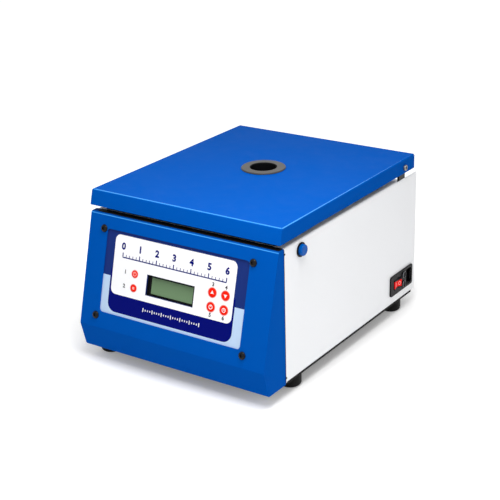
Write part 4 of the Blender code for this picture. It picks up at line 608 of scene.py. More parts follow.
def curve(centre, radius, start, end, steps=6):
    """Points of an arc in a ring list, with its angles in degrees from outwards to upwards."""
    angles = [math.radians(start + (end - start) * step / steps) for step in range(steps + 1)]
    across, up = centre
    return [(across + radius * math.cos(angle), up + radius * math.sin(angle)) for angle in angles]


def hoop(outer, inner, low, high):
    """The ring list of a flat hoop."""
    return [(outer, low), (outer, high), (inner, high), (inner, low), (outer, low)]


def block(name, low, high):
    """A block between two corners, ready to be eased or cut."""
    low, high = Vector(low), Vector(high)
    bpy.ops.object.select_all(action="DESELECT")
    bpy.ops.mesh.primitive_cube_add(size=1, location=(low + high) / 2, scale=high - low)
    return placed(name)


def panel_turned(name, rings, across, drop, sides=None):
    """A round piece that stands out of the sloping panel."""
    return turned(name, rings, panel_spot(across, drop), PANEL_OUT, sides)


def panel_block(name, width, height, across, drop, low, high):
    """A block on the sloping panel, from one distance out of it to another."""
    bpy.ops.object.select_all(action="DESELECT")
    bpy.ops.mesh.primitive_cube_add(
        size=1, location=panel_spot(across, drop, (low + high) / 2), rotation=PANEL_TURN,
        scale=(width, height, high - low),
    )
    return placed(name)


def panel_field(name, width, height, corners, across, drop, low, high):
    """A thin field with rounded corners. The corners are the radii of its upper and lower ones."""
    bpy.ops.object.select_all(action="DESELECT")
    middle = panel_spot(across, drop, low)
    bpy.ops.mesh.primitive_plane_add(size=1, location=middle, rotation=PANEL_TURN)
    bpy.context.active_object.scale = (width, height, 1)
    piece = placed(name)
    bpy.ops.object.mode_set(mode="EDIT")
    for upper, radius in zip((True, False), corners):
        if radius <= 0:
            continue
        shape = bmesh.from_edit_mesh(piece.data)
        bpy.ops.mesh.select_all(action="DESELECT")
        for point in shape.verts:
            above = (point.co - middle).dot(PANEL_DOWN) < 0
            far = abs((point.co - middle).dot(PANEL_DOWN)) > height / 2 - MERGE
            point.select = above == upper and far and abs(point.co.x - across) > width / 2 - MERGE
        shape.select_flush_mode()
        bmesh.update_edit_mesh(piece.data)
        bpy.ops.mesh.bevel(offset=radius, segments=10, affect="VERTICES")
    bpy.ops.mesh.select_all(action="SELECT")
    bpy.ops.mesh.extrude_region_move(TRANSFORM_OT_translate={"value": PANEL_OUT * (high - low)})
    bpy.ops.object.mode_set(mode="OBJECT")
    return closed(piece)


def panel_text(name, words, size, across, drop, low, high, weight):
    """Plain figures that stand out of the panel by the print's thickness."""
    bpy.ops.object.select_all(action="DESELECT")
    bpy.ops.object.text_add(location=panel_spot(across, drop, (low + high) / 2), rotation=PANEL_TURN)
    text = bpy.context.active_object
    text.data.body = words
    text.data.size = size
    text.data.align_x = "CENTER"
    text.data.align_y = "CENTER"
    text.data.extrude = (high - low) / 2
    text.data.offset = weight
    text.data.resolution_u = 3
    only(text)
    bpy.ops.object.convert(target="MESH")
    return closed(placed(name))


def carved(piece, *tools):
    """Cuts the tools out of a piece and clears them away."""
    for tool in tools:
        cut = piece.modifiers.new("cut", "BOOLEAN")
        cut.operation = "DIFFERENCE"
        cut.solver = "EXACT"
        cut.object = tool
        only(piece)
        bpy.ops.object.modifier_apply(modifier=cut.name)
        bpy.data.objects.remove(tool, do_unlink=True)
    return piece


def merged_copy(node):
    """A copy of a model piece with its triangles joined into faces."""
    mesh = frame["nodes"][node].data.copy()
    piece = bpy.data.objects.new(f"{node}_fine", mesh)
    bpy.context.scene.collection.objects.link(piece)
    opened(piece)
    bpy.ops.mesh.remove_doubles(threshold=COPY_MERGE)
    bpy.ops.mesh.customdata_custom_splitnormals_clear()
    bpy.ops.mesh.tris_convert_to_quads(face_threshold=FLAT_ANGLE, shape_threshold=math.pi)
    bpy.ops.object.mode_set(mode="OBJECT")
    return piece


def eased(piece, width, steps=2, angle=30.0, coat=0):
    """Rounds every edge sharper than the angle. The coat is the place of the edges' own finish."""
    only(piece)
    if coat and len(piece.data.materials) <= coat:
        piece.data.materials.append(None)
    ease = piece.modifiers.new("edges", "BEVEL")
    ease.width = width
    ease.segments = steps
    ease.limit_method = "ANGLE"
    ease.angle_limit = math.radians(angle)
    ease.miter_outer = "MITER_ARC"
    if coat:
        ease.material = coat
    bpy.ops.object.modifier_apply(modifier=ease.name)
    return piece


def dressed(piece, coat, body, nodes=(), second=None):
    """Smooths a piece, gives it its finishes and hangs it on its body."""
    only(piece)
    bpy.ops.object.shade_smooth_by_angle(angle=SMOOTH_ANGLE)
    weigh = piece.modifiers.new("flats", "WEIGHTED_NORMAL")
    weigh.keep_sharp = True
    bpy.ops.object.modifier_apply(modifier=weigh.name)
    for place, name in enumerate([coat, second] if second else [coat]):
        if place < len(piece.data.materials):
            piece.data.materials[place] = finish(name)
        else:
            piece.data.materials.append(finish(name))
    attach(piece, body)
    if nodes:
        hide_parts(*nodes)
    return piece


def body_of(node):
    return frame["nodes"][node]["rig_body"]


def refined(node, coat, width, steps=2, edge=None):
    """A model piece with its edges eased, in place of the plain one, and a painted highlight on its upward
    edges.
    """
    piece = eased(merged_copy(node), width, steps, coat=1 if edge else 0)
    if edge:
        for face in piece.data.polygons:
            if face.material_index and face.normal.z < HIGHLIGHT_RISE:
                face.material_index = 0
    return dressed(piece, coat, body_of(node), (node,), second=edge)


def banded(piece, test):
    """Leaves room for two finishes, and gives the second one to the faces that pass the test."""
    while len(piece.data.materials) < 2:
        piece.data.materials.append(None)
    for face in piece.data.polygons:
        face.material_index = 1 if test(face) else 0


def side_block(name, way, low, high):
    """A block given for the right side, or its mirror image for a way of -1."""
    near, far = sorted((way * low[0], way * high[0]))
    return block(name, (near, *low[1:]), (far, *high[1:]))


def side_axis(node):
    """The point where the sideways axis of a model piece meets the body's middle plane."""
    low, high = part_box(node)
    return Vector((0, (low.y + high.y) / 2, (low.z + high.z) / 2))


# Pieces


class CYTOCENTRIFUGE_OT_finishes(bpy.types.Operator):
    """Give every piece of the model its finish"""

    bl_idname = "cytocentrifuge.finishes"
    bl_label = "Finishes"

    def execute(self, context):
        for item in frame["nodes"].values():
            name = item.data.materials[0].name.split(".")[0]
            item.data.materials[0] = finish(name)
        return {"FINISHED"}


class CYTOCENTRIFUGE_OT_sheet_metal(bpy.types.Operator):
    """Ease the folded sheets: cover, back, base and front panel, and smooth the lid"""

    bl_idname = "cytocentrifuge.sheet_metal"
    bl_label = "Folded sheets"

    def execute(self, context):
        edge, steps = sizes().sheet_edge, sizes().sheet_steps
        fine = sizes().machined_edge
        # Each folded sheet, its paint, and the painted highlight on its upward edges
        for node, coat, highlight in (
            ("cover", "white_paint", "white_edge"), ("rear_panel", "white_paint", "white_edge"),
            ("fascia", "blue_paint", "blue_edge"),
        ):
            refined(node, coat, edge, steps, edge=highlight)
        lid = dressed(merged_copy("lid_shell"), "blue_paint", "lid", ("lid_shell",))
        # A painted highlight along the lid's rounded top bend
        lid.data.materials.append(finish("blue_edge"))
        for face in lid.data.polygons:
            if face.center.z > LID_TOP - 0.0003 and 0.85 < face.normal.z < 0.98:
                face.material_index = 1
        refined("base_plate", "black_steel", fine, 1)
        # A painted highlight along the front panel's top fold
        for face in bpy.data.objects["fascia_fine"].data.polygons:
            front = face.normal.y < 0 and face.center.z > PANEL_EDGE.z - 0.01
            if front and 0.45 < face.normal.z < 0.7:
                face.material_index = 1
        refined("lid_liner", "black_plastic", fine)
        refined("deck_seal", "rubber", 2 * fine, 3)
        for side, way in SIDES:
            trim = side_block(
                f"base_trim_{side}", way, (0.1494, -0.1500, 0.0180), (0.1504, 0.1936, 0.0212),
            )
            dressed(eased(trim, 0.0002), "rubber", "housing")
        # A black rubber strip on the front panel's top lip: painted shade for the gap under the lid's front
        strip = block("front_seal", (-0.1400, -0.1620, 0.2050), (0.1485, -0.1535, 0.2062))
        dressed(eased(strip, 0.0004, 3), "rubber", "housing")
        cover_low, cover_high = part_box("cover")
        seam, near, far = cover_low.y - 0.00015, cover_high.x - 0.0004, cover_high.x + 0.0002
        for side, way in SIDES:
            # A black strip in the seam between the cover and the front panel: painted shade of the narrow
            # gap
            strip = side_block(
                f"seam_strip_{side}", way, (near, seam - 0.0005, 0.0210), (far, seam + 0.0005, 0.2035),
            )
            dressed(eased(strip, 0.0001), "rubber", "housing")
            for end, height in (("top", 0.1975), ("bottom", 0.0270)):
                clip = side_block(
                    f"seam_clip_{side}_{end}", way, (near, seam - 0.0008, height - 0.0012),
                    (far + 0.0003, seam + 0.0022, height + 0.0012),
                )
                dressed(eased(clip, 0.0003, 3), "black_plastic", "housing")
        return {"FINISHED"}


class CYTOCENTRIFUGE_OT_brackets(bpy.types.Operator):
    """Ease the hinge brackets and the parts of the latch"""

    bl_idname = "cytocentrifuge.brackets"
    bl_label = "Brackets and latch"

    def execute(self, context):
        edge = sizes().machined_edge
        for node in ("hinge_bracket_left", "hinge_bracket_right"):
            refined(node, "black_steel", edge)
        for node in ("lid_tongue", "latch_bolt", "latch_bracket"):
            refined(node, "bright_steel", edge)
        refined("lid_switch", "black_plastic", edge)
        return {"FINISHED"}


class CYTOCENTRIFUGE_OT_port_ring(bpy.types.Operator):
    """Turn the port ring"""

    bl_idname = "cytocentrifuge.port_ring"
    bl_label = "Port ring"

    def execute(self, context):
        bottom, top = RING_LOW.z, RING_HIGH.z
        outer = (RING_HIGH.x - RING_LOW.x) / 2
        seat = LID_TOP + 0.0003
        bore, sleeve, bend, ledge = 0.0185, 0.0205, 0.0015, 0.0165
        rings = [
            (sleeve, bottom), (ledge, bottom), (ledge, bottom + 0.0015), (bore, bottom + 0.0015),
            *curve((bore + bend, top - bend), bend, 180, 90),
            *curve((outer - bend, top - bend), bend, 90, 0),
            (outer, seat), (sleeve, seat), (sleeve, bottom),
        ]
        ring = turned("port_ring_fine", rings, ROTOR_AXIS, sides=sizes().round_sides)
        eased(ring, 0.0002, 1, 60.0)
        # The bore and the underside are black, as painted shade in the deep bore
        bore_edge = bore + 0.5 * bend
        banded(ring, lambda face: (
            math.hypot(face.center.x, face.center.y - ROTOR_Y) < bore_edge or face.center.z < seat
        ))
        dressed(ring, "grey_plastic", "lid", ("port_ring",), second="black_plastic")
        return {"FINISHED"}


class CYTOCENTRIFUGE_OT_feet(bpy.types.Operator):
    """Turn one rubber foot and copy it to its four places"""

    bl_idname = "cytocentrifuge.feet"
    bl_label = "Feet"

    def execute(self, context):
        bore, sole, bend = 0.0060, 0.0100, 0.0050
        rings = [
            (bore, 0.0080), (bore, 0.0), (sole, 0.0), *curve((sole, bend), bend, -90, 0)[1:],
            (sole + bend, 0.0177),
        ]
        first = eased(turned("foot", rings), 0.0004)
        for node in ("foot_front_left", "foot_front_right", "foot_rear_left", "foot_rear_right"):
            low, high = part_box(node)
            foot = bpy.data.objects.new(f"{node}_fine", first.data.copy())
            context.scene.collection.objects.link(foot)
            foot.data.transform(Matrix.Translation(((low.x + high.x) / 2, (low.y + high.y) / 2, 0)))
            dressed(foot, "rubber", "housing", (node,))
        bpy.data.objects.remove(first, do_unlink=True)
        return {"FINISHED"}


def label_cutters():
    """Cutters for the display's window and for the six keys that pass the label."""
    low, high = -0.004, 0.004
    window = panel_block("hole", *WINDOW_SIZE, DISPLAY_X, DISPLAY_DROP, low, high)
    return [window] + [
        panel_turned("hole", [(radius + KEY_GAP, low), (radius + KEY_GAP, high)], across, drop)
        for body, across, drop, radius in KEYS.values()
    ]


def printed(piece, coat):
    """A print on the label."""
    return dressed(piece, coat, "housing")


class CYTOCENTRIFUGE_OT_label(bpy.types.Operator):
    """Lay the printed fields of the label, with plain figures in place of its words"""

    bl_idname = "cytocentrifuge.label"
    bl_label = "Label"

    def execute(self, context):
        step = sizes().print_step
        plate_low, plate_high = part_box("label_plate")
        plate_width = plate_high.x - plate_low.x
        for layer, (name, width, height, corners, across, drop) in enumerate((
            ("label_pale", plate_width - 0.002, 0.0618, (0, 0), LABEL_X, 0.1121),
            ("label_navy", 0.2024, 0.0590, (0.002, 0.0130), WHITE_X, 0.0995),
            ("label_white", 0.1965, 0.0810, (0.0080, 0.0080), WHITE_X, 0.0640),
        )):
            low = LABEL_FRONT + layer * step
            field = panel_field(f"{name}_field", width, height, corners, across, drop, low, low + step)
            printed(carved(field, *label_cutters()), name)
        white, top = low + step, low + 2 * step
        start, pitch, marks_each = LABEL_X - 0.0855, 0.0056, 5
        rule = panel_field("scale_rule", 0.1686, 0.0016, (0, 0), start + 0.0840, 0.0530, white, top)
        printed(rule, "label_navy")
        for place in range(31):
            width, height, drop = (
                (0.0010, 0.0032, 0.0506) if place % marks_each else (0.0016, 0.0054, 0.0495)
            )
            mark = panel_field(
                f"scale_mark_{place:02d}", width, height, (0, 0), start + pitch * place, drop, white, top,
            )
            printed(mark, "label_navy")
        for place in range(7):
            across = start + marks_each * pitch * place
            figure = panel_text(
                f"scale_figure_{place}", str(place), 0.0125, across, 0.0385, white, top, 0.0006,
            )
            printed(figure, "label_navy")
        for place in range(25):
            height = 0.0024 if place % 4 else 0.0052
            across = LABEL_X - 0.0430 + 0.0038 * place
            mark = panel_field(
                f"band_mark_{place:02d}", 0.0013, height, (0, 0), across, 0.1160, low, white,
            )
            printed(mark, "print_white")
        beside, above, below = (-0.0160, 0.0), (0.0, -0.0105), (0.0, 0.0105)
        for number, (key, shift) in enumerate(
            zip(KEYS.values(), (beside, beside, above, above, below, below)), 1,
        ):
            figure = panel_text(
                f"key_figure_{number}", str(number), 0.0070, key[1] + shift[0], key[2] + shift[1],
                white, top, 0.0003,
            )
            printed(figure, "print_black")
        return {"FINISHED"}


class CYTOCENTRIFUGE_OT_display(bpy.types.Operator):
    """Set the display behind its black frame"""

    bl_idname = "cytocentrifuge.display"
    bl_label = "Display"

    def execute(self, context):
        refined("display_bezel", "black_plastic", 0.0002)
        front, floor = -0.0051, -0.0059
        middle = (DISPLAY_X + 0.0011, DISPLAY_DROP)
        border = panel_block(
            "display_frame", 0.0718, 0.0244, DISPLAY_X, DISPLAY_DROP, front - 0.003, front,
        )
        opening = panel_block("hole", 0.0676, 0.0224, *middle, floor, front + 0.01)
        dressed(
            eased(carved(border, opening), 0.0001, 1), "black_plastic", "housing", ("display_glass",),
        )
        crystal = panel_block("display_crystal", 0.0672, 0.0220, *middle, floor, front - 0.0003)
        dressed(eased(crystal, 0.0001), "display_green", "housing")
        return {"FINISHED"}


class CYTOCENTRIFUGE_OT_keys(bpy.types.Operator):
    """Turn the six keys and lay their signs"""

    bl_idname = "cytocentrifuge.keys"
    bl_label = "Keys"

    def execute(self, context):
        front = LABEL_FRONT + KEY_RISE
        stem, tip, bend = 0.0020, -0.0106, 0.0003
        flange, under, wider = -0.0041, -0.0051, 0.001
        for node, (body, across, drop, radius) in KEYS.items():
            rings = [
                (stem, tip), (stem, under), (radius + wider, under), (radius + wider, flange),
                (radius, flange), *curve((radius - bend, front - bend), bend, 0, 90, 3),
            ]
            key = panel_turned(f"{node}_fine", rings, across, drop)
            dressed(key, "key_red", body, (node,))
        low, high, reach = front, front + 0.00008, 0.0030
        for node, point in (("key_up", 1), ("key_down", -1)):
            body, across, drop, radius = KEYS[node]
            sign = panel_turned(f"{node}_sign", [(reach, low), (reach, high)], across, drop, 3)
            self.point(sign, across, drop, point)
            dressed(sign, "print_white", body)
        for node, coat in (
            ("key_run", "print_pink"), ("key_speed", "print_white"), ("key_time", "print_white"),
        ):
            body, across, drop, radius = KEYS[node]
            ring = panel_turned(f"{node}_sign", hoop(reach, 0.0021, low, high), across, drop)
            dressed(ring, coat, body)
        for node, coat, width, height, aside, below in (
            ("key_run", "print_pink", 0.0007, 0.0028, 0.0, -0.0012),
            ("key_stop", "print_pink", 0.0034, 0.0034, 0.0, 0.0),
            ("key_speed", "print_white", 0.0009, 0.0030, 0.0, -0.0016),
            ("key_time", "print_white", 0.0007, 0.0021, 0.0, -0.0009),
            ("key_time", "print_white", 0.0015, 0.0007, 0.0006, 0.0),
        ):
            body, across, drop, radius = KEYS[node]
            bar = panel_field(
                f"{node}_bar", width, height, (0.0002, 0.0002), across + aside, drop + below,
                low, high + 0.00001,
            )
            dressed(bar, coat, body)
        return {"FINISHED"}

    def point(self, sign, across, drop, point):
        """Turns a three-sided sign about its middle until a corner points up or down the slope."""
        middle = panel_spot(across, drop)
        farthest = max(sign.data.vertices, key=lambda vertex: (vertex.co - middle).length)
        reach = farthest.co - middle
        reach -= PANEL_OUT * reach.dot(PANEL_OUT)
        wanted = -PANEL_DOWN * point
        turn = reach.rotation_difference(wanted).to_matrix().to_4x4()
        sign.data.transform(Matrix.Translation(middle) @ turn @ Matrix.Translation(-middle))


class CYTOCENTRIFUGE_OT_screws(bpy.types.Operator):
    """Turn the panel's dome screws and the two hinge screws, each with its hexagon socket"""

    bl_idname = "cytocentrifuge.screws"
    bl_label = "Screws"

    def execute(self, context):
        shank, head, seat, rise = 0.0019, 0.0053, 0.0003, 0.0029
        dome = [(head * across, seat + rise * up) for across, up in curve((0, 0), 1.0, 0, 84, 8)]
        rings = [(shank, -0.0070), (shank, seat), *dome]
        for number, (across, drop) in enumerate((
            (-0.1245, 0.0200), (0.1155, 0.0200), (-0.1245, 0.1390), (0.1155, 0.1390),
        ), 1):
            node = f"panel_screw_{number}"
            screw = self.socket_screw(
                node, rings, 0.0014, 0.0060, panel_spot(across, drop), PANEL_OUT,
            )
            dressed(screw, "black_steel", "housing", (node,))
        low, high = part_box("hinge_screw_right")
        shank, head, bend = 0.0030, 0.0042, 0.0010
        seat, face = high.x - 0.0028, high.x
        rings = [
            (shank, low.x), (shank, seat), (head, seat), *curve((head - bend, face - bend), bend, 0, 90, 4),
        ]
        for side, way in (("right", RIGHT), ("left", -RIGHT)):
            node = f"hinge_screw_{side}"
            screw = self.socket_screw(
                node, rings, face - 0.0018, face + 0.002, side_axis("hinge_screw_right"), way,
            )
            dressed(screw, "screw_steel", body_of(node), (node,))
        return {"FINISHED"}

    def socket_screw(self, node, rings, low, high, place, along):
        """A turned screw with a hexagon socket cut from one height to another."""
        screw = turned(f"{node}_fine", rings, place, along)
        socket = turned("hole", [(HEX_REACH, low), (HEX_REACH, high)], place, along, 6)
        return eased(carved(screw, socket), 0.00012, 2, 40.0)


class CYTOCENTRIFUGE_OT_button(bpy.types.Operator):
    """Turn the release button and its barrel"""

    bl_idname = "cytocentrifuge.button"
    bl_label = "Release button"

    def execute(self, context):
        middle = side_axis("release_button")
        stem, radius, bend, length = 0.0030, 0.0075, 0.0016, 0.0110
        tip = BUTTON_HIGH.x
        rings = [
            (stem, BUTTON_LOW.x), (stem, tip - length), (radius, tip - length),
            *curve((radius - bend, tip - bend), bend, 0, 90, 8), (stem, tip),
        ]
        button = turned("release_button_fine", rings, middle, RIGHT, 64)
        dressed(button, "blue_plastic", "button", ("release_button",))
        face, end, wall = BARREL_HIGH.x, BARREL_LOW.x, 0.0015
        bore, flange, sleeve, guide = 0.0078, 0.0097, 0.0085, 0.0033
        rings = [
            (bore, face), (flange, face), (flange, face - wall), (sleeve, face - wall), (sleeve, end),
            (guide, end), (guide, end + wall), (bore, end + wall), (bore, face),
        ]
        barrel = turned("button_barrel_fine", rings, middle, RIGHT, 64)
        dressed(eased(barrel, 0.0003, 3), "black_plastic", "housing", ("button_barrel",))
        return {"FINISHED"}


class CYTOCENTRIFUGE_OT_inlet(bpy.types.Operator):
    """Ease the mains inlet and its rocker, and turn its fuse caps"""

    bl_idname = "cytocentrifuge.inlet"
    bl_label = "Mains inlet"

    def execute(self, context):
        refined("inlet_module", "black_plastic", 0.00012, 1)
        liner = block("socket_liner", (0.1362, 0.1738, 0.0371), (0.1502, 0.1900, 0.0609))
        carved(liner, block("hollow", (0.1350, 0.1742, 0.0376), (0.1510, 0.1895, 0.0604)))
        dressed(eased(liner, 0.0001, 1), "black_plastic", "housing")
        self.rocker()
        for place in ("upper", "lower"):
            self.fuse_cap(f"fuse_cap_{place}")
        return {"FINISHED"}

    def rocker(self):
        """The rocker with black cheeks as painted shade of its V-shaped faces, and its signs for on and off.
        """
        pivot = Matrix.Translation(ROCKER_PIVOT) @ Matrix.Rotation(ROCKER_REST, 4, "Z")
        rocker = eased(merged_copy("rocker_switch"), 0.0005, 3)
        waist, flare = 0.0042, 0.0014 / 0.0086
        bpy.ops.object.mode_set(mode="EDIT")
        for across in (-1, 1):
            for over in (-1, 1):
                bpy.ops.mesh.select_all(action="SELECT")
                bpy.ops.mesh.bisect(
                    plane_co=pivot @ Vector((0, 0, over * waist)),
                    plane_no=pivot.to_3x3() @ Vector((0, -across * over * flare, 1)),
                )
        bpy.ops.object.mode_set(mode="OBJECT")
        back = pivot.inverted()

        # The upper and lower corners, black as painted shade where the rocker's two faces meet in a V
        def cheek(face):
            middle = back @ face.center
            return abs(middle.z) > waist + flare * abs(middle.y)

        banded(rocker, cheek)
        dressed(rocker, "rocker_red", "rocker", ("rocker_switch",), second="black_plastic")
        lean = math.atan2(0.0018, 0.0086)
        stroke = block("rocker_mark_on", (-0.0001, -0.0004, -0.0030), (0.0001, 0.0004, 0.0030))
        eased(stroke, 0.00005, 1)
        circle = turned("rocker_mark_off", hoop(0.0026, 0.0019, -0.0001, 0.0001), along=RIGHT)
        for mark, side in ((stroke, -1), (circle, 1)):
            spot = Matrix.Translation((0.00731, side * 0.0043, 0)) @ Matrix.Rotation(-side * lean, 4, "Z")
            mark.data.transform(pivot @ spot)
            dressed(mark, "print_pink", "rocker")

    def fuse_cap(self, node):
        """A slotted cap with a paler rim, a painted highlight."""
        low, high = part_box(node)
        face, stem, flange, bend = high.x, 0.0040, 0.0051, 0.0004
        rings = [
            (stem, low.x), (stem, face - 0.0016), (flange, face - 0.0016),
            *curve((flange - bend, face - bend), bend, 0, 90, 3), (0.0036, face), (0.0034, face - 0.0003),
        ]
        middle = side_axis(node)
        cap = turned(f"{node}_fine", rings, middle, RIGHT)
        width, length = 0.0007, 0.0060
        carved(cap, block(
            "hole", (face - 0.0009, middle.y - width, middle.z - length),
            (face + 0.002, middle.y + width, middle.z + length),
        ))
        # Painted highlight: the rounded rim is paler grey
        banded(cap, lambda part: (
            math.hypot(part.center.y - middle.y, part.center.z - middle.z) > 0.0043
            and part.center.x > face - 0.0006
        ))
        dressed(cap, "black_plastic", body_of(node), (node,), "rim_highlight")


class CYTOCENTRIFUGE_OT_bowl(bpy.types.Operator):
    """Spin the chamber bowl"""

    bl_idname = "cytocentrifuge.bowl"
    bl_label = "Chamber bowl"

    def execute(self, context):
        top, bottom = BOWL_HIGH.z, BOWL_LOW.z
        flange = (BOWL_HIGH.x - BOWL_LOW.x) / 2
        wall, corner, hole = 0.0012, 0.0100, 0.0160
        outer = flange - 0.0058
        inner = outer - wall
        outside, lip = corner + wall, 0.0008
        rings = [
            (hole, bottom), *curve((outer - outside, bottom + outside), outside, -90, 0, 8),
            (outer, top - wall), (flange, top - wall), (flange, top),
            *curve((inner + lip, top - lip), lip, 90, 180, 3),
            *curve((inner - corner, bottom + outside), corner, 0, -90, 8),
            (hole, bottom + wall), (hole, bottom),
        ]
        bowl = turned("chamber_bowl_fine", rings, ROTOR_AXIS, sides=sizes().round_sides)
        dressed(eased(bowl, 0.0002, 1, 60.0), "bowl_steel", "housing", ("chamber_bowl",))
        return {"FINISHED"}


class CYTOCENTRIFUGE_OT_drive(bpy.types.Operator):
    """Turn the motor, its mounts and the rotor shaft"""

    bl_idname = "cytocentrifuge.drive"
    bl_label = "Motor and mounts"

    def execute(self, context):
        self.motor()
        refined("motor_plate", "bright_steel", 0.0004)
        for number in (1, 2, 3):
            self.mount(f"motor_mount_{number}")
        radius, collar, low, high, seat = 0.0050, 0.0090, 0.1125, 0.1155, 0.1458
        rings = [
            (radius, SHAFT_LOW.z), (radius, low), (collar, low), (collar, high), (radius, high),
            (radius, seat), (0.0040, seat), (0.0040, SHAFT_HIGH.z),
        ]
        shaft = turned("rotor_shaft_fine", rings, ROTOR_AXIS)
        dressed(eased(shaft, 0.0003), "bowl_steel", "rotor", ("rotor_shaft",))
        return {"FINISHED"}

    def motor(self):
        """The grooved can with its flange, its boss and the bore for the shaft."""
        low, high = MOTOR_LOW.z, MOTOR_HIGH.z
        can, bend, groove = 0.0380, 0.0020, 0.0370
        flange, under, over = 0.0500, 0.0629, 0.0669
        shoulder, boss, bore = 0.0993, 0.0130, 0.0053
        grooves = []
        for place in range(6):
            height = 0.0700 + 0.0040 * place
            grooves += [
                (can, height), (groove, height + 0.0003), (groove, height + 0.0013), (can, height + 0.0016),
            ]
        rings = [
            (0.0100, low), *curve((can - bend, low + bend), bend, -90, 0, 4), (can, under),
            (flange, under), (flange, over), (can, over), *grooves,
            *curve((can - bend, shoulder - bend), bend, 0, 90, 4), (boss, shoulder), (boss, high),
            (bore, high), (bore, high - 0.0250),
        ]
        motor = turned("motor_fine", rings, ROTOR_AXIS, sides=96)
        dressed(eased(motor, 0.0003, 1, 50.0), "motor_grey", "housing", ("motor",))

    def mount(self, node):
        """A rubber mount with a waist."""
        base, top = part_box(node)
        radius, end = 0.0090, 0.0040
        rings = [
            (radius, base.z), (radius, base.z + end), *curve((0.0130, 0.0398), 0.0065, 230, 130, 8),
            (radius, top.z - end), (radius, top.z),
        ]
        mount = turned(f"{node}_fine", rings, ((base.x + top.x) / 2, (base.y + top.y) / 2, 0))
        dressed(eased(mount, 0.0003), "rubber", "housing", (node,))


def around(count, radius, height=0):
    """Points in a circle about the rotor's axis."""
    angles = [math.tau * place / count for place in range(count)]
    return [(radius * math.cos(angle), ROTOR_Y + radius * math.sin(angle), height) for angle in angles]


class CYTOCENTRIFUGE_OT_rotor(bpy.types.Operator):
    """Ease the rotor head and turn its fluted knob"""

    bl_idname = "cytocentrifuge.rotor"
    bl_label = "Rotor"

    def execute(self, context):
        refined("rotor_head", "aluminium", 0.0002)
        bottom, top = KNOB_LOW.z, KNOB_HIGH.z
        bore, radius, bend, flute = 0.0043, 0.0130, 0.0030, 0.0019
        rings = [
            (bore, top - 0.0040), (bore, bottom), (radius, bottom),
            *curve((radius - bend, top - bend), bend, 0, 90, 6),
        ]
        knob = turned("rotor_knob_fine", rings, ROTOR_AXIS, sides=96)
        flutes = [
            turned("hole", [(flute, bottom + 0.0030), (flute, top + 0.002)], centre, sides=16)
            for centre in around(12, 0.0140)
        ]
        dressed(eased(carved(knob, *flutes), 0.0003), "black_plastic", "rotor", ("rotor_knob",))
        return {"FINISHED"}


class CYTOCENTRIFUGE_OT_carriers(bpy.types.Operator):
    """Ease the slide carriers and sample chambers, and load a glass slide and a filter card in each"""

    bl_idname = "cytocentrifuge.carriers"
    bl_label = "Slide carriers"

    def execute(self, context):
        for number, pivot in enumerate(around(4, PIVOT_RADIUS, PIVOT_HEIGHT), 1):
            body = f"carrier_{number}"
            refined(f"slide_carrier_{number}", "bright_steel", 0.0001, 1)
            refined(f"sample_chamber_{number}", "white_plastic", 0.0003)
            facing = Matrix.Rotation(math.tau * (number - 1) / 4, 4, "Z")
            spot = Matrix.Translation(pivot) @ facing @ Matrix.Rotation(CARRIER_TILT, 4, "Y")
            slide = block(f"glass_slide_{number}", (0.00175, -0.0125, -0.0467), (0.00275, 0.0125, 0.0283))
            end = block(f"slide_end_{number}", (0.00170, -0.0120, 0.0095), (0.00175, 0.0120, 0.0278))
            card = block(f"filter_card_{number}", (0.00120, -0.0125, -0.0460), (0.00150, 0.0125, 0.0170))
            carved(card, turned("hole", [(0.0036, -0.002), (0.0036, 0.004)], (0, 0, -0.0165), RIGHT))
            for piece, coat, slot in (
                (eased(slide, 0.0002), "glass", "clear_plastic"),
                (eased(end, 0.00002, 1), "frosted", "clear_plastic"),
                (eased(card, 0.00005, 1), "card", "white_plastic"),
            ):
                piece.data.transform(spot)
                dressed(piece, coat, body)
        return {"FINISHED"}


class CYTOCENTRIFUGE_OT_electrics(bpy.types.Operator):
    """Ease the control board and model the transformer's core and winding"""

    bl_idname = "cytocentrifuge.electrics"
    bl_label = "Board and transformer"

    def execute(self, context):
        refined("control_board", "board_green", 0.0002, 1)
        for number, (width, height, across, drop) in enumerate((
            (0.020, 0.008, -0.0700, 0.0500), (0.012, 0.012, -0.0700, 0.0950),
            (0.016, 0.008, 0.0230, 0.0450), (0.022, 0.006, 0.0230, 0.1080),
            (0.010, 0.010, -0.0300, 0.1100), (0.014, 0.007, 0.0700, 0.1050),
        ), 1):
            chip = panel_block(f"board_chip_{number}", width, height, across, drop, -0.0154, -0.0130)
            dressed(eased(chip, 0.0003), "black_plastic", "housing")
        low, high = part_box("power_supply")
        x, y, z = (low + high) / 2
        core = block("transformer_core", (low.x, y - 0.025, low.z), (high.x, y + 0.025, high.z))
        coil = block("transformer_winding", (x - 0.021, low.y, z - 0.017), (x + 0.021, high.y, z + 0.017))
        dressed(eased(core, 0.0006), "motor_grey", "housing", ("power_supply",))
        dressed(eased(coil, 0.0050, 5), "copper", "housing")
        return {"FINISHED"}


# Stage


def lamp(name, place, target, size, power, colour=(1, 1, 1)):
    """A square soft light that looks at a point."""
    bpy.ops.object.select_all(action="DESELECT")
    bpy.ops.object.light_add(type="AREA", location=place)
    light = bpy.context.active_object
    light.name = name
    light.data.shape = "SQUARE"
    light.data.size = size
    light.data.energy = power
    light.data.color = colour
    light.rotation_euler = (Vector(target) - Vector(place)).to_track_quat("-Z", "Y").to_euler()
    return light


def seen_rays(tree):
    """One for rays that show the background: camera, glossy and transmission rays."""
    path = tree.nodes.new("ShaderNodeLightPath")
    mirror = math_node(tree, "MAXIMUM", path.outputs["Is Camera Ray"], path.outputs["Is Glossy Ray"])
    return math_node(tree, "MAXIMUM", mirror, path.outputs["Is Transmission Ray"])


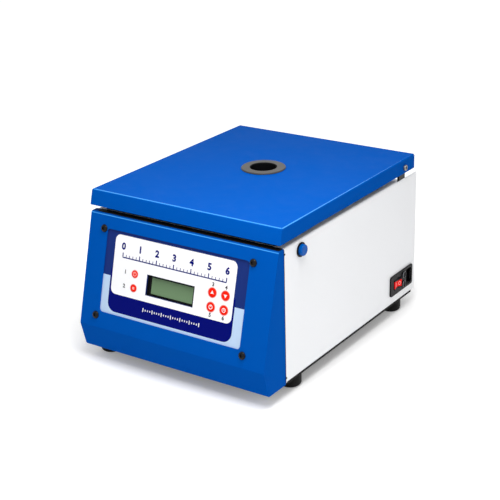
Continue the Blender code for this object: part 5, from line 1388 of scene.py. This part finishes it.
class CYTOCENTRIFUGE_OT_stage(bpy.types.Operator):
    """Set the pale floor, the soft studio light and the camera"""

    bl_idname = "cytocentrifuge.stage"
    bl_label = "Stage, light and camera"

    def execute(self, context):
        scene = context.scene
        scene.view_settings.view_transform = "Standard"
        self.floor()
        self.surroundings(scene)
        lamp("top_light", (0.20, -0.28, 0.78), (0.06, -0.08, 0.20), 0.45, 5.2)
        lamp("front_light", (0.10, -2.0, 0.75), (0, 0, 0.1), 1.2, 2.5)
        lamp("right_light", (2.2, -0.1, 0.8), (0, 0, 0.1), 1.4, 6.2)
        self.camera(scene)
        return {"FINISHED"}

    def floor(self):
        bpy.ops.object.select_all(action="DESELECT")
        bpy.ops.mesh.primitive_plane_add(size=12, location=(0, 0, 0))
        floor = placed("studio_floor")
        material, tree, shader, place = new_finish("pale_floor", Specular_IOR_Level=0.0, Roughness=0.9)
        fed(tree, shader, Base_Color=drifting(tree, place, (0.86, 0.86, 0.86, 1), 1.5, 0.01))
        near = grouped(tree, "soft_round", Vector=place, Centre=(0, 0, 0), Radius=0.16, Reach=0.38)
        share = ranged(tree, near["Mask"], To_Min=0.6, To_Max=0.18)
        strength = math_node(tree, "MULTIPLY", seen_rays(tree), share)
        glow = added(tree, "ShaderNodeEmission", Strength=strength)
        both = added(tree, "ShaderNodeAddShader", i0=shader.outputs["BSDF"], i1=glow.outputs["Emission"])
        tree.links.new(both.outputs["Shader"], tree.nodes["Material Output"].inputs["Surface"])
        floor.data.materials.append(material)

    def surroundings(self, scene):
        world = bpy.data.worlds.new("studio")
        world.use_nodes = True
        scene.world = world
        tree = world.node_tree
        plain = fed(tree, tree.nodes["Background"], Color=(1, 1, 1, 1), Strength=0.5)
        bright = added(tree, "ShaderNodeBackground", Color=(1, 1, 1, 1), Strength=1.0)
        mixed = added(
            tree, "ShaderNodeMixShader", i0=seen_rays(tree), i1=plain.outputs[0], i2=bright.outputs[0],
        )
        tree.links.new(mixed.outputs["Shader"], tree.nodes["World Output"].inputs["Surface"])

    def camera(self, scene):
        azimuth, height, roll = [math.radians(angle) for angle in CAMERA_ANGLES]
        bpy.ops.object.select_all(action="DESELECT")
        bpy.ops.object.camera_add()
        camera = bpy.context.active_object
        camera.name = "photo_camera"
        camera.matrix_world = (
            Matrix.Translation(CAMERA_PLACE) @ Matrix.Rotation(azimuth, 4, "Z")
            @ Matrix.Rotation(math.pi / 2 - height, 4, "X") @ Matrix.Rotation(roll, 4, "Z")
        )
        camera.data.sensor_width = 36.0
        camera.data.lens = CAMERA_LENS
        camera.data.clip_end = 50.0
        scene.camera = camera


STEPS = (
    CYTOCENTRIFUGE_OT_stage,
    CYTOCENTRIFUGE_OT_finishes,
    CYTOCENTRIFUGE_OT_sheet_metal,
    CYTOCENTRIFUGE_OT_brackets,
    CYTOCENTRIFUGE_OT_port_ring,
    CYTOCENTRIFUGE_OT_feet,
    CYTOCENTRIFUGE_OT_label,
    CYTOCENTRIFUGE_OT_display,
    CYTOCENTRIFUGE_OT_keys,
    CYTOCENTRIFUGE_OT_screws,
    CYTOCENTRIFUGE_OT_button,
    CYTOCENTRIFUGE_OT_inlet,
    CYTOCENTRIFUGE_OT_bowl,
    CYTOCENTRIFUGE_OT_drive,
    CYTOCENTRIFUGE_OT_rotor,
    CYTOCENTRIFUGE_OT_carriers,
    CYTOCENTRIFUGE_OT_electrics,
)


class CYTOCENTRIFUGE_PT_steps(bpy.types.Panel):
    """The steps that dress the instrument"""

    bl_label = "Cytocentrifuge"
    bl_idname = "CYTOCENTRIFUGE_PT_steps"
    bl_space_type = "VIEW_3D"
    bl_region_type = "UI"
    bl_category = "Cytocentrifuge"

    def draw(self, context):
        for group in (sizes(), colours()):
            for name in group.__annotations__:
                self.layout.prop(group, name)
        for step in STEPS:
            self.layout.operator(step.bl_idname)


CLASSES = (CytocentrifugeSizes, CytocentrifugeColours, *STEPS, CYTOCENTRIFUGE_PT_steps)


def register():
    for kind in CLASSES:
        bpy.utils.register_class(kind)
    bpy.types.Scene.cytocentrifuge_sizes = bpy.props.PointerProperty(type=CytocentrifugeSizes)
    bpy.types.Scene.cytocentrifuge_colours = bpy.props.PointerProperty(type=CytocentrifugeColours)


def unregister():
    del bpy.types.Scene.cytocentrifuge_colours
    del bpy.types.Scene.cytocentrifuge_sizes
    for kind in reversed(CLASSES):
        bpy.utils.unregister_class(kind)


def main():
    register()
    for step in STEPS:
        getattr(bpy.ops.cytocentrifuge, step.bl_idname.split(".")[1])()
    bpy.ops.object.select_all(action="DESELECT")


if __name__ == "__main__":
    main()
